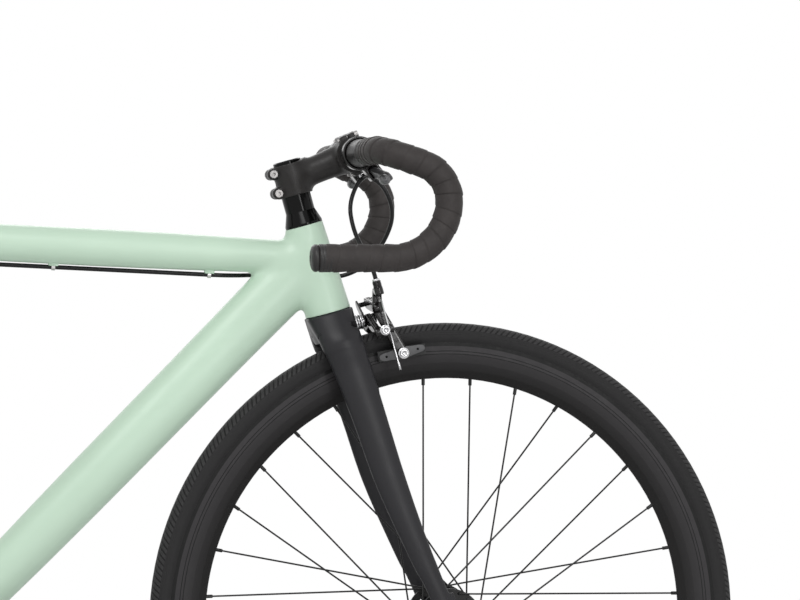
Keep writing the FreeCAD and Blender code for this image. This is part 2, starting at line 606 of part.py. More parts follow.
brake_flat = rod("crown_flat", 9, 20, steer.place(D.crown_len / 2 + 1.2, 0, -D.brake_drop, "x"))
node("fork", cut("fork", fork_whole, brake_bore, brake_flat, rod(
    "steerer_bore", D.steerer_bore_d / 2, steerer_top + 12, steer.place(0, 0, 2))))

# Headset stack, stem and bar.
bore_r = D.steerer_d / 2 + D.running
cover_low = D.head_len + D.free_gap
spacer_low = D.head_len + D.cover_h
stem_low = spacer_low + D.spacer_h * 2
stem_high = stem_low + D.stem_clamp_h
cover = turned("headset_cover", [(bore_r, cover_low), (head_r1, cover_low), (head_r1, cover_low + 2.6),
                                 (D.spacer_d / 2, spacer_low - 0.02), (bore_r, spacer_low - 0.02)], steer.place())
spacers = [washer("spacer_%d" % k, D.spacer_d / 2, bore_r, D.spacer_h - 0.04,
                  steer.place(0, 0, spacer_low + D.spacer_h * k)) for k in range(2)]
cap_r = D.stem_clamp_d / 2 - 3
cap = turned("top_cap", [(3.1, steerer_top - 6), (D.steerer_bore_d / 2 - 0.1, steerer_top - 6),
                         (D.steerer_bore_d / 2 - 0.1, stem_high + 0.04), (cap_r, stem_high + 0.04),
                         (cap_r, stem_high + D.cap_h - 1), (cap_r - 1.5, stem_high + D.cap_h),
                         (5.2, stem_high + D.cap_h), (5.2, stem_high), (3.1, stem_high)], steer.place())
node("headset_spacers", group("headset_spacers", cover, *spacers, cap))

bar_at = steer.at(D.stem_len, 0, stem_low + D.stem_clamp_h / 2 + D.stem_rise)
stem_mid = steer.at(0, 0, stem_low + D.stem_clamp_h / 2)
stem_dir = unit(bar_at - stem_mid)
bar = Frame(bar_at, stem_dir, stem_dir.cross(Y_AXIS))
bar_bore_r = D.bar_clamp_d / 2 + D.running
clamp_r = D.bar_clamp_d / 2 + 4.6
ear_z = D.bar_clamp_d / 2 + 8.0
clamp_y = -D.bar_clamp_w / 2
neck = loft("stem_neck", [
    ellipse("neck_0", 17.2, 16.0, Frame(stem_mid, stem_dir.cross(Y_AXIS), stem_dir)),
    ellipse("neck_1", 16.4, 15.4, Frame(stem_mid + stem_dir * (float(D.stem_len) * 0.55), stem_dir.cross(Y_AXIS), stem_dir)),
    ellipse("neck_2", 18.6, 18.2, Frame(bar_at - stem_dir * 12, stem_dir.cross(Y_AXIS), stem_dir))])
front_cut = block("stem_front", 60, 80, 80, bar, 30 - 0.8, 0, -40)
stem_clamp = fuse("stem_clamp", rod("bar_clamp", clamp_r, D.bar_clamp_w, bar.place(0, clamp_y, 0, "y")),
                  block("bar_ears", 18, D.bar_clamp_w, ear_z * 2, bar, 0, 0, -ear_z))
pinch_x, pinch_z = -D.stem_clamp_d / 2 - 1.2, (D.stem_clamp_h / 2 - 13.5, D.stem_clamp_h / 2 + 13.5 - 1)
pinch_z = (7.0, D.stem_clamp_h - 7.0)
ears = block("pinch_ears", 14, 24, D.stem_clamp_h, steer, -D.stem_clamp_d / 2 + 0.5, 0, stem_low)
bolt_r = 2.5
face_bolts_at = [(y, z) for y in (-13.0, 13.0) for z in (-1, 1)]
face_z = D.bar_clamp_d / 2 + 4.0
face_holes = [rod("face_hole_%d" % i, bolt_r + D.running, 44, bar.place(-22, y, face_z * z, "x"))
              for i, (y, z) in enumerate(face_bolts_at)]
pinch_holes = [rod("pinch_hole_%d" % i, bolt_r + D.running, 40, steer.place(pinch_x, -20, stem_low + z, "y"))
               for i, z in enumerate(pinch_z)]
steer_hole = rod("stem_bore", bore_r, D.stem_clamp_h + 4, steer.place(0, 0, stem_low - 2))
bar_hole = rod("bar_bore", bar_bore_r, 90, bar.place(0, -45, 0, "y"))
node("stem", cut("stem", fuse("stem_whole", neck, cut("rear_clamp", stem_clamp, front_cut), ears,
                              rod("steer_clamp", D.stem_clamp_d / 2, D.stem_clamp_h, steer.place(0, 0, stem_low))),
                 steer_hole, bar_hole, *face_holes, *pinch_holes,
                 block("pinch_slot", 16, 2.4, D.stem_clamp_h + 4, steer, -D.stem_clamp_d / 2 - 1, 0, stem_low - 2)))
rear_cut = block("face_rear", 60, 80, 80, bar, -30 + 0.8, 0, -40)
face_seats = [rod("face_seat_%d" % i, 4.5, 20, bar.place(9, y, face_z * z, "x")) for i, (y, z) in enumerate(face_bolts_at)]
node("stem_faceplate", cut("stem_faceplate", stem_clamp, rear_cut, bar_hole, *face_holes, *face_seats))


def socket_bolt(name, frame, axis, at, shank, head_len, way):
    """A round-headed bolt with a key socket; way is +1 where the head is at the low end of its axis."""
    x, y, z = at
    length = as_dim(shank)
    steps = {"x": (1, 0, 0), "y": (0, 1, 0), "z": (0, 0, 1)}[axis]

    def spot(s):
        s = float(as_dim(s)) * way
        return frame.place(float(as_dim(x)) + steps[0] * s, float(as_dim(y)) + steps[1] * s,
                           float(as_dim(z)) + steps[2] * s, axis)
    low = (0.0, float(length)) if way > 0 else (float(length), 0.0)
    parts = [rod(name + "_shank", bolt_r, length, spot(low[0])),
             rod(name + "_head", 4.3, head_len, spot(-head_len if way > 0 else 0))]
    socket = rod(name + "_socket", 2.0, head_len - 1.5, spot(-head_len if way > 0 else -1.5))
    return cut(name, fuse(name + "_whole", *parts), socket)


bolts = [socket_bolt("face_bolt_%d" % i, bar, "x", (9.05, y, face_z * z), 20, 4.5, -1)
         for i, (y, z) in enumerate(face_bolts_at)]
bolts += [socket_bolt("pinch_bolt_%d" % i, steer, "y", (pinch_x, -12.05, stem_low + z), 22, 4.5, 1)
          for i, z in enumerate(pinch_z)]
bolts.append(fuse("cap_bolt", rod("cap_bolt_shank", 3.0, 31, steer.place(0, 0, stem_high - 30)),
                  rod("cap_bolt_head", 5.0, 3.4, steer.place(0, 0, stem_high + 0.05))))
node("stem_bolts", group("stem_bolts", *bolts))

bar_half, ramp = float(D.bar_w) / 2, math.radians(float(D.ramp_angle))
R1, R2, R3 = float(D.bar_bend_r), float(D.hook_r), float(D.drop_r)
hook = Frame(bar_at, Vector(1, 0, 0), Z_AXIS)
apex_x = float(D.bar_reach)
arc_x, arc_z = apex_x - R2 + R2 * math.sin(ramp), None
arc_z = -arc_x * math.tan(ramp)
apex_z = arc_z - R2 * math.cos(ramp)


def drop_path(side, start_y):
    """One half of the drop bar: top, bend, ramp, hook and drop, as lines and arcs."""
    def p(x, y, z):
        return hook.at(x, y * side, z)
    c = math.cos(ramp), math.sin(ramp)
    y0 = bar_half
    bend_mid = R1 * (1 - math.sqrt(0.5))
    edges = [Part.makeLine(p(0, start_y, 0), p(0, y0 - R1, 0)),
             Part.Arc(p(0, y0 - R1, 0), p(bend_mid * c[0], y0 - bend_mid, -bend_mid * c[1]),
                      p(R1 * c[0], y0, -R1 * c[1])).toShape(),
             Part.makeLine(p(R1 * c[0], y0, -R1 * c[1]), p(arc_x, y0, arc_z))]
    turn = (ramp + math.pi / 2) / 2
    cx = apex_x - R2
    edges.append(Part.Arc(p(arc_x, y0, arc_z), p(cx + R2 * math.sin(turn), y0, apex_z + R2 * math.cos(turn)),
                          p(apex_x, y0, apex_z)).toShape())
    cx = apex_x - R3
    half = math.sqrt(0.5)
    edges.append(Part.Arc(p(apex_x, y0, apex_z), p(cx + R3 * half, y0, apex_z - R3 * half),
                          p(cx, y0, apex_z - R3)).toShape())
    edges.append(Part.makeLine(p(cx, y0, apex_z - R3), p(cx - float(D.bar_end_len), y0, apex_z - R3)))
    return Part.Wire(edges)


bulge_r, bar_r = D.bar_clamp_d / 2, D.bar_d / 2
taper_end = D.bulge_half + 18
bar_mid = turned("bar_middle", [
    (bar_r - D.bar_wall, -taper_end), (bar_r, -taper_end), (bulge_r, -D.bulge_half), (bulge_r, D.bulge_half),
    (bar_r, taper_end), (bar_r - D.bar_wall, taper_end)], bar.place(0, 0, 0, "y"))
bar_halves = []
for side, word in ((-1, "right"), (1, "left")):
    path = drop_path(side, float(taper_end) - 1)
    bar_halves.append(shape("%s_bar" % word, pipe(path, bar_r).cut(pipe(path, bar_r - D.bar_wall))))
node("handlebar", fuse("handlebar", bar_mid, *bar_halves))


def tape_sleeve(side):
    """Wraps of tape as stepped rings along the bar, hollow round it."""
    path = drop_path(side, float(D.tape_start))
    low, high = float(bar_r + D.tape_t - D.tape_step), float(bar_r + D.tape_t)
    count = TAPE_WRAPS
    total = path.Length - 1
    rings = []
    for k in range(count):
        for part, r in ((0.0, high - 0.15), (0.12, high), (0.86, low + 0.1), (1.0, low)):
            s = 0.5 + total * (k + part * 0.985) / count
            rings.append(ring_on(path, s, r))
    whole = Part.makeLoft(rings, True, True)
    return whole.cut(pipe(path, bar_r + 0.02))


def ring_on(path, distance, radius):
    for edge in path.OrderedEdges:
        if distance <= edge.Length + 1e-7:
            at = edge.getParameterByLength(min(distance, edge.Length))
            way = edge.tangentAt(at)
            return Part.Wire(Part.makeCircle(radius, edge.valueAt(at), way))
        distance -= edge.Length
    raise ValueError("past the end of the path")


tapes, plugs = [], []
for side, word in ((-1, "right"), (1, "left")):
    tapes.append(shape("%s_tape" % word, tape_sleeve(side)))
    end = hook.moved(apex_x - R3 - float(D.bar_end_len), bar_half * side, apex_z - R3)
    plug_r = bar_r + D.tape_t - 0.2
    plugs.append(turned("%s_plug" % word, [
        (0, 0.05), (plug_r, 0.05), (plug_r, 2.5), (plug_r - 2.5, 5), (0, 6)],
        Placement(end.origin, Rotation(Z_AXIS, Vector(-1, 0, 0)))))
node("bar_tape", group("bar_tape", *tapes))
node("bar_end_plugs", group("bar_end_plugs", *plugs))

# Cross-top brake levers.
down_angle = math.radians(float(D.lever_angle))
lever_out = Vector(math.cos(down_angle), 0, -math.sin(down_angle))
lever_up = Vector(math.sin(down_angle), 0, math.cos(down_angle))
pivot_x, band_w, cable_out = D.lever_out, 14.0, 2.0
brackets, lever_frames = [], {}
for side, word in ((-1, "right"), (1, "left")):
    lever = Frame(bar_at + vec(0, float(D.lever_at) * side, 0), lever_out, lever_up)
    lever_frames[word] = lever
    band = rod(word + "_band", bulge_r + 3.4, band_w, lever.place(0, -band_w / 2, 0, "y"))
    lug = block(word + "_lug", pivot_x + 7 - 12, band_w + 5, 17, lever, (pivot_x + 7 + 12) / 2, side * -2.5, -8.5)
    barrel = rod(word + "_lever_barrel", 3.6, 8, lever.place(pivot_x + cable_out, -4 - side * 15, 0, "y"))
    slot = block(word + "_lug_slot", 40, band_w + 8, 8.6, lever, pivot_x - 7 + 20, side * 4, -4.3)
    bracket = cut(word + "_bracket_body", fuse(word + "_bracket_whole", band, lug, barrel), slot,
                  rod(word + "_band_bore", bulge_r + D.running, band_w + 16, lever.place(0, -band_w / 2 - 8, 0, "y")))
    brackets.append(fuse(word + "_bracket", bracket, rod(word + "_pivot", 2.5, 17, lever.place(pivot_x, 0, -8.5))))
    root = lever.at(pivot_x, 0, -4)
    tip = lever.at(pivot_x + 9, side * D.lever_len, -4)
    blade = shape(word + "_blade_solid", link(root, 6.2, tip, 5.4, lever_up, 8))
    node(word + "_brake_lever", cut(word + "_brake_lever", blade, rod(
        word + "_lever_bore", 2.5 + D.running, 12, lever.place(pivot_x, 0, -6))))
node("lever_brackets", group("lever_brackets", *brackets))


def root_of(dim):
    return Dim(math.sqrt(dim.value), "sqrt(%s)" % dim.text)


# Wheels.
tyre_mid = D.bead_seat_d / 2 + D.tyre_height - D.tyre_w / 2
rim_top = tyre_mid - root_of(D.tyre_w * D.tyre_w / 4 - D.rim_w * D.rim_w / 4)
rim_in = rim_top - D.rim_depth
track_low = rim_top - D.rim_track
spoke_r = D.spoke_d / 2
flange_r = D.flange_d / 2


def tyre(name, wheel):
    hollow = [add("Part::Torus", name + "_core", wheel.place(0, 0, 0, "y"), Radius1=tyre_mid,
                  Radius2=D.tyre_w / 2 - D.tyre_wall),
              rod(name + "_open", rim_top, 60, wheel.place(0, -30, 0, "y"))]
    return node(name, cut(name, add("Part::Torus", name + "_skin", wheel.place(0, 0, 0, "y"), Radius1=tyre_mid,
                                    Radius2=D.tyre_w / 2), *hollow))


def rim(name, wheel, wells):
    half, well = D.rim_w / 2, D.rim_w / 2 - 3.4
    side = [(rim_top, half), (track_low, half), (track_low - 9, half - 1.1), (track_low - 18, half - 3.6),
            (rim_in + 4, D.rim_nose_w / 2 + 1.2), (rim_in + 0.8, D.rim_nose_w / 2 - 0.8), (rim_in, 1.4)]
    outline = [(rim_top, well), *side, *[(r, -y) for r, y in reversed(side)], (rim_top, -well),
               (rim_top - D.rim_well, 1.5 - well), (rim_top - D.rim_well, well - 1.5)]
    body = turned(name + "_body", outline, wheel.place(0, 0, 0, "y"))
    return node(name, cut(name, body, wells))


def hub(name, wheel, gap, end, axle_d, cog_side):
    """Hub shell with two drilled high flanges; the cog side has a longer threaded nose."""
    bore, fy, half = axle_d / 2 + D.running, gap / 2, D.flange_t / 2
    nose = D.hub_d / 2 - 3.5
    cog_nose, cog_end = (D.hub_d / 2 + 2.2, -D.chainline - 6) if cog_side else (nose, -end)
    outline = [(bore, -end), (nose, -end), (nose, cog_end), (cog_nose, cog_end), (cog_nose, -fy - half),
               (flange_r, -fy - half), (flange_r, half - fy), (D.hub_d / 2 + 1, half - fy), (D.hub_d / 2 - 1.5, 7 - fy),
               (D.hub_d / 2 - 1.5, fy - 7), (D.hub_d / 2 + 1, fy - half), (flange_r, fy - half),
               (flange_r, fy + half), (nose, fy + half), (nose, end), (bore, end)]
    if not cog_side:
        outline = outline[:1] + outline[2:3] + outline[4:]
    body = turned(name + "_body", outline, wheel.place(0, 0, 0, "y"))
    ring_holes(body, name + "_lightening", D.flange_hole_circle_d, D.flange_hole_d, 8, 0)
    return body


def spoke_set(name, wheel, gap):
    """Three-cross lacing; each spoke has its elbow and head in the flange and its nipple in the rim."""
    solids, hole_r = [], float(D.spoke_circle_d) / 2
    r, half, elbow_r = float(spoke_r), float(D.flange_t) / 2, float(spoke_r) * 1.6
    holes, wells = [], []
    for k in range(SPOKES):
        side = -1 if k % 2 == 0 else 1
        index = k // 2
        out = 1 if index % 2 == 0 else -1
        rim_a = 2 * math.pi * k / SPOKES + math.radians(float(D.spoke_turn))
        hub_a = rim_a + out * 3 * 4 * math.pi / SPOKES
        flange_y = float(gap) / 2 * side
        lay = flange_y + side * out * (half + r + 0.05)
        head = flange_y - side * out * (half + 0.05)

        def spot(radius, angle, y):
            return wheel.at(radius * math.cos(angle), y, radius * math.sin(angle))
        elbow = spot(hole_r, hub_a, lay)
        seat_at = spot(float(rim_in) + float(D.nipple_seat) - 0.3, rim_a, 0)
        route, radii = [spot(hole_r, hub_a, head), elbow], [elbow_r]
        if out > 0:
            flat_way = unit(vec(seat_at.x - elbow.x, 0, seat_at.z - elbow.z))
            route.append(elbow + flat_way * (math.sqrt(float(flange_r) ** 2 - hole_r ** 2) + 3))
            radii.append(40.0)
        way = unit(seat_at - route[-1])
        length = float(D.nipple_len) - 0.3
        wire = pipe(rounded_path(route + [seat_at - way * 2], radii), r)
        axis = unit(route[0] - elbow)
        solids.append(wire.multiFuse([Part.makeCylinder(r * 1.9, 1.4, route[0], axis),
                                      Part.makeCylinder(float(D.nipple_d) / 2, length, seat_at - way * length, way)]))
        holes.append(Part.makeCylinder(r + 0.55, float(D.flange_t) + 2,
                                       spot(hole_r, hub_a, flange_y - float(D.flange_t) / 2 - 1), Y_AXIS))
        wells.append(Part.makeCylinder(float(D.nipple_d) / 2 + 0.1, length + 0.3, seat_at - way * length, way))
    node(name, shape(name, Part.makeCompound(solids)))
    return (shape(name + "_flange_holes", Part.makeCompound(holes)),
            shape(name + "_nipple_wells", Part.makeCompound(wells)))


hub_ends = {"front": D.front_hub_w / 2 - lock_w - D.free_gap, "rear": D.rear_hub_w / 2 - lock_w - D.free_gap}
for word, wheel, gap, axle_d in (("front", front_wheel, D.front_flange_gap, D.front_axle_d),
                                 ("rear", rear_wheel, D.rear_flange_gap, D.rear_axle_d)):
    tyre(word + "_tyre", wheel)
    holes, wells = spoke_set(word + "_spokes", wheel, gap)
    rim(word + "_rim", wheel, wells)
    node(word + "_hub", cut(word + "_hub", hub(word + "_hub", wheel, gap, hub_ends[word], axle_d, word == "rear"), holes))

# Sprockets and chain: rollers sit midway between teeth, symmetrical about the line of centres.
line = unit(rear_axle_at - bb_at)
line_up = Vector(-line.z, 0, line.x) * (-1 if line.x < 0 else 1)


def sprocket_face(teeth, radius, centre, toward):
    """Toothed outline with round roller seats, one tooth pointing along toward."""
    step = 2 * math.pi / teeth
    across = toward.cross(Y_AXIS)
    seat_r, tip_r, tip_half = float(D.roller_d) / 2 + 0.15, radius + float(D.pitch) * 0.27, 0.95

    def polar(r, a):
        return centre + (toward * math.cos(a) + across * math.sin(a)) * r

    def seat_point(mid, turn):
        e, s = toward * math.cos(mid) + across * math.sin(mid), across * math.cos(mid) - toward * math.sin(mid)
        return polar(radius, mid) + (e * -math.cos(turn) + s * math.sin(turn)) * seat_r
    edges = []
    for k in range(teeth):
        mid, spread = (k + 0.5) * step, math.radians(64)
        tip = (k + 1) * step
        edges.append(Part.Arc(seat_point(mid, -spread), seat_point(mid, 0), seat_point(mid, spread)).toShape())
        a, b = polar(tip_r, tip - tip_half / tip_r), polar(tip_r, tip + tip_half / tip_r)
        edges += [Part.makeLine(seat_point(mid, spread), a), Part.makeLine(a, b),
                  Part.makeLine(b, seat_point(mid + step, -spread))]
    return Part.Face(Part.Wire(edges))


tooth_half = float(D.tooth_w) / 2
drive_y = vec(0, -float(D.chainline), 0)
bolt_ring = D.bolt_circle_d / 2
ring_blank = shape("ring_blank", sprocket_face(RING_TEETH, ring_r, bb_at + drive_y - vec(0, tooth_half, 0), -line)
                   .extrude(vec(0, tooth_half * 2, 0)))
crank_turn = [2 * math.pi * k / 5 + math.pi / 5 for k in range(5)]
ring_bolts_at = [(float(bolt_ring) * math.cos(a), float(bolt_ring) * math.sin(a)) for a in crank_turn]
ring_bolt_r = 5.0
node("chainring", cut("chainring", ring_blank,
                      rod("ring_window", bolt_ring - 9, 20, crank.place(0, -D.chainline - 10, 0, "y")),
                      *[rod("ring_bolt_hole_%d" % i, ring_bolt_r + D.running, 20, crank.place(x, -D.chainline - 10, z, "y"))
                        for i, (x, z) in enumerate(ring_bolts_at)]))
thread_r = D.hub_d / 2 + 2.2
cog_blank = shape("cog_blank", sprocket_face(COG_TEETH, cog_r, rear_axle_at + drive_y - vec(0, tooth_half, 0), line)
                  .extrude(vec(0, tooth_half * 2, 0)))
cog = cut("cog", cog_blank, rod("cog_bore", thread_r + D.running, 20, rear_wheel.place(0, -D.chainline - 10, 0, "y")))
lockring = washer("lockring", thread_r + 5, thread_r + D.running, 3.4,
                  rear_wheel.place(0, -D.chainline - D.tooth_w / 2 - 3.5, 0, "y"))
node("fixed_cog", group("fixed_cog", cog, lockring))

pins = []
for k in range(-engaged_ring, engaged_ring):
    a = (k + 0.5) * ring_step
    pins.append(bb_at + drive_y - line * (ring_r * math.cos(a)) + line_up * (ring_r * math.sin(a)))
on_cog = []
for k in range(engaged_cog, -engaged_cog, -1):
    a = (k - 0.5) * cog_step
    on_cog.append(rear_axle_at + drive_y + line * (cog_r * math.cos(a)) + line_up * (cog_r * math.sin(a)))


def span(start, end):
    return [start + (end - start) * (k / span_pitches) for k in range(1, span_pitches)]


pins = pins + span(pins[-1], on_cog[0]) + on_cog + span(on_cog[-1], pins[0])
pin_r, roller_r = float(D.pin_d) / 2, float(D.roller_d) / 2
plate_t, inner_half = float(D.plate_t), float(D.chain_inner_w) / 2
plate_r = roller_r + 0.25


def chain_plates(p, q, y):
    return [link(p + vec(0, s, 0), plate_r, q + vec(0, s, 0), plate_r, Y_AXIS, plate_t) for s in (y, -y - plate_t)]


def chain_link(p, q, inner):
    solids = chain_plates(p, q, inner_half if inner else inner_half + plate_t + 0.1)
    if inner:
        rollers = [Part.makeCylinder(roller_r, inner_half * 2, c - vec(0, inner_half, 0), Y_AXIS) for c in (p, q)]
        bores = [Part.makeCylinder(pin_r + float(D.running), 20, c - vec(0, 10, 0), Y_AXIS) for c in (p, q)]
        return solids[0].multiFuse([solids[1], *rollers]).cut(Part.makeCompound(bores))
    reach = inner_half + plate_t * 2 + 0.5
    studs = [Part.makeCylinder(pin_r, reach * 2, c - vec(0, reach, 0), Y_AXIS) for c in (p, q)]
    return solids[0].multiFuse([solids[1], *studs])


ends = list(zip(pins, pins[1:] + pins[:1]))
node("chain_inner_links", shape("chain_inner_links", Part.makeCompound([chain_link(p, q, True) for p, q in ends[::2]])))
node("chain_outer_links", shape("chain_outer_links", Part.makeCompound([chain_link(p, q, False) for p, q in ends[1::2]])))

# Cranks and pedals; the right crank points forward at rest.
square = D.spindle_d * 0.69
arm_in = D.crank_out - D.crank_t
spindle_end = arm_in + D.crank_t - 2
spindle = fuse("crank_spindle", rod("spindle_round", spindle_r, D.shell_w + 8, crank.place(0, -D.shell_w / 2 - 4, 0, "y")),
               block("spindle_square", square, spindle_end * 2 - 8, square, crank, 0, 0, -square / 2))
axle_r = D.pedal_axle_d / 2
pedal_in = D.crank_out + 3
axle_end = pedal_in + D.pedal_len - 6
pedal_frames, axle_solids, arms = {}, [], {}
for side, word in ((-1, "right"), (1, "left")):
    reach = float(D.crank_len) * -side
    pedal = crank.moved(reach, 0, 0)
    pedal_frames[word] = pedal
    base = [(0, arm_in + 0.5), (axle_r, arm_in + 0.5), (axle_r, D.crank_out), (axle_r + 2, D.crank_out + 0.05),
            (axle_r + 2, pedal_in - 0.3), (axle_r - 1.5, pedal_in - 0.3), (axle_r - 2.5, axle_end), (0, axle_end)]
    turn = Rotation(Z_AXIS, Vector(0, side, 0))
    axle_solids.append(turned(word + "_pedal_axle", base, Placement(pedal.origin, turn)))
    inner_y = -float(D.crank_out) if side < 0 else float(arm_in)
    arm = shape(word + "_arm_blank", link(crank.at(0, inner_y, 0), 17.5, crank.at(reach, inner_y, 0), 13.5, Y_AXIS, D.crank_t))
    square_hole = block(word + "_square_hole", square + 0.1, 60, square + 0.1, crank, 0,
                        side * (arm_in - 30 + D.crank_t - 4), -(square + 0.1) / 2)
    bolt_hole = rod(word + "_crank_bolt_hole", 7.05, 5, crank.place(0, side * D.crank_out - 2.5 - side * 1.5, 0, "y"))
    arms[word] = (arm, square_hole, bolt_hole, rod(
        word + "_pedal_hole", axle_r + D.running, 40, pedal.place(0, side * (arm_in + D.crank_out) / 2 - 20, 0, "y")))
node("crank_axles", group("crank_axles", spindle, *axle_solids))

spider_y = -float(D.chainline) - tooth_half - float(D.spider_t) - 0.02
spider_arms = [link(crank.at(0, spider_y, 0), 20, crank.at(x, spider_y, z), 8.5, Y_AXIS, D.spider_t)
               for x, z in ring_bolts_at]
spider = fuse("spider", shape("spider_arms", spider_arms[0].multiFuse(spider_arms[1:])),
              rod("spider_boss", 19, arm_in + spider_y + 1, crank.place(0, -arm_in - 0.5, 0, "y")))
spider_holes = [rod("spider_hole_%d" % i, ring_bolt_r + D.running, 20, crank.place(x, spider_y - 5, z, "y"))
                for i, (x, z) in enumerate(ring_bolts_at)]
right_arm = cut("right_crank", fuse("right_crank_whole", arms["right"][0], spider), *arms["right"][1:], *spider_holes)
left_arm = cut("left_crank", arms["left"][0], *arms["left"][1:])
node("crank_arms", group("crank_arms", right_arm, left_arm))
crank_bolts = []
for side, word in ((-1, "right"), (1, "left")):
    crank_bolts.append(rod(word + "_crank_bolt", 7.0, 3.6, crank.place(0, side * (D.crank_out - 2.0) - 1.8, 0, "y")))
stack = float(D.tooth_w) + float(D.spider_t) + 0.02
for i, (x, z) in enumerate(ring_bolts_at):
    crank_bolts.append(fuse("ring_bolt_%d" % i,
                            rod("ring_bolt_shank_%d" % i, ring_bolt_r, stack + 0.1, crank.place(x, spider_y - 0.05, z, "y")),
                            rod("ring_bolt_head_%d" % i, 6.6, 1.8, crank.place(x, spider_y - 1.85, z, "y")),
                            rod("ring_nut_%d" % i, 6.6, 1.4, crank.place(x, spider_y + stack + 0.05, z, "y"))))
node("crank_bolts", group("crank_bolts", *crank_bolts))

for side, word in ((-1, "right"), (1, "left")):
    pedal = pedal_frames[word]
    sleeve_r = axle_r + 3.2
    depth, length = float(D.pedal_depth), float(D.pedal_len)

    def spot(y):
        return side * y if side > 0 else side * y
    inner = float(pedal_in) if side > 0 else -float(pedal_in) - length
    outer_plate = inner + length - 3 if side > 0 else inner
    inner_plate = inner + 4 if side > 0 else inner + length - 7
    pieces = [rod(word + "_pedal_barrel", sleeve_r, length - 3, pedal.place(0, inner + (0 if side > 0 else 3), 0, "y"))]
    for k, x in enumerate((-depth / 2, depth / 2 - 3)):
        pieces.append(block("%s_cage_%d" % (word, k), 3, length, 22, pedal, x + 1.5, inner + length / 2, -11))
    for k, y in enumerate((outer_plate, inner_plate)):
        pieces.append(block("%s_cage_end_%d" % (word, k), depth, 3, 16, pedal, 0, y + 1.5, -8))
    bore_start = float(pedal_in) - 2
    hole = turned(word + "_pedal_bore", [(0, bore_start), (axle_r - 1.5 + D.running, bore_start),
                                         (axle_r - 1.5 + D.running, pedal_in), (axle_r - 2.5 + D.running, axle_end),
                                         (axle_r - 2.5 + D.running, axle_end + D.free_gap), (0, axle_end + D.free_gap)],
                  Placement(pedal.origin, Rotation(Z_AXIS, Vector(0, side, 0))))
    node(word + "_pedal", cut(word + "_pedal", fuse(word + "_pedal_whole", *pieces), hole))

# Seat post, clamp and saddle; the saddle lies level.
post_r = D.seatpost_d / 2
post_low = D.seat_tube_top - D.post_in
saddle = Frame(seat.at(-D.saddle_back, 0, D.saddle_up), Vector(1, 0, 0), Z_AXIS)
rail_r, rail_y = D.rail_d / 2, D.rail_gap / 2
head_drop = rail_r + 17.0
head_mid = saddle.at(0, 0, -head_drop)
post_top = (head_mid - seat.origin).dot(seat.ez)
post_x = (head_mid - seat.origin).dot(seat.ex)
neck_bend = rod("post_head", 12.5, 34, saddle.place(0, -17, -head_drop, "y"))
post_skin = rod("post_skin", post_r, post_top - post_low.value, seat.place(0, 0, post_low))
gusset = shape("post_gusset", link(seat.at(0, -9, post_top - 16), 13.2, saddle.at(0, -9, -head_drop), 12.4, Y_AXIS, 18))
post_core = rod("post_core", post_r - 2.4, D.post_in + 60, seat.place(0, 0, post_low - 1))
head_bolt_bore = rod("head_bolt_bore", 3.1, 60, saddle.place(0, 0, -head_drop - 22))
post = cut("post", fuse("post_whole", post_skin, neck_bend, gusset), post_core, head_bolt_bore)
jaws = []
for k, (low, high) in enumerate((((-head_drop) + 12.6, -0.4), (0.4, rail_r + 4.0))):
    jaw = block("jaw_%d" % k, 38, D.rail_gap + 14, as_dim(high) - low, saddle, 0, 0, low)
    jaws.append(cut("jaw_cut_%d" % k, jaw, head_bolt_bore, *[
        rod("jaw_groove_%d_%d" % (k, s), rail_r + D.running, 50, saddle.place(-25, rail_y * s, 0, "x"))
        for s in (-1, 1)]))
head_bolt = fuse("head_bolt", rod("head_bolt_shank", 3.0, head_drop + rail_r + 4 + 16, saddle.place(0, 0, -head_drop - 16)),
                 rod("head_bolt_nut", 6.0, 4, saddle.place(0, 0, rail_r + 4.05)))
node("seatpost", group("seatpost", post, *jaws, head_bolt))
base_z = D.rail_d * 4
rail_solids = []
for s in (-1, 1):
    y = float(rail_y) * s
    way = rounded_path([saddle.at(118, 9 * s, float(base_z) - 5), saddle.at(74, y * 0.96, 0.6), saddle.at(52, y, 0),
                        saddle.at(-52, y, 0), saddle.at(-92, y * 1.25, float(base_z) - 5)], [16, 30, 22])
    rail_solids.append(shape("rail_%d" % s, pipe(way, rail_r)))
node("saddle_rails", group("saddle_rails", *rail_solids))
scale_l, scale_w = float(D.saddle_len) / 275, float(D.saddle_w) / 144
saddle_rows = ((-124, 30, 17, 0.0), (-116, 54, 24, 0.0), (-96, 68, 28.5, 0.0), (-62, 72, 29.5, 0.0),
               (-20, 58, 26.5, -1.5), (22, 38, 25, -1.5), (66, 26, 25.5, 0.0), (112, 20.5, 24.5, 0.0),
               (138, 17, 20, -1.0), (149, 10, 12, -3.0))


def saddle_ring(x, half, height, sag, low):
    """A crowned section: sides drawn in below the widest line."""
    x, half, high = x * scale_l, half * scale_w, height * float(D.saddle_h) / 30
    tuck = half * 0.86
    side_z = low + high * 0.38
    a, b = saddle.at(x, -tuck, low), saddle.at(x, tuck, low)
    left, right = saddle.at(x, half, side_z), saddle.at(x, -half, side_z)
    top = saddle.at(x, 0, low + high + sag)
    edge = 0.8
    lift_l, lift_r = (saddle.at(x, s * (half * edge), low + high * 0.9) for s in (1, -1))
    return Part.Wire([Part.makeLine(a, b), Part.makeLine(b, left),
                      Part.Arc(left, saddle.at(x, half * 0.95, low + high * 0.72), lift_l).toShape(),
                      Part.Arc(lift_l, top, lift_r).toShape(),
                      Part.Arc(lift_r, saddle.at(x, -half * 0.95, low + high * 0.72), right).toShape(),
                      Part.makeLine(right, a)])


def shell_ring(x, half, low, high):
    x, half = x * scale_l, half * scale_w * 0.84
    return Part.makePolygon([saddle.at(x, -half, low), saddle.at(x, half, low), saddle.at(x, half, high),
                             saddle.at(x, -half, high), saddle.at(x, -half, low)])


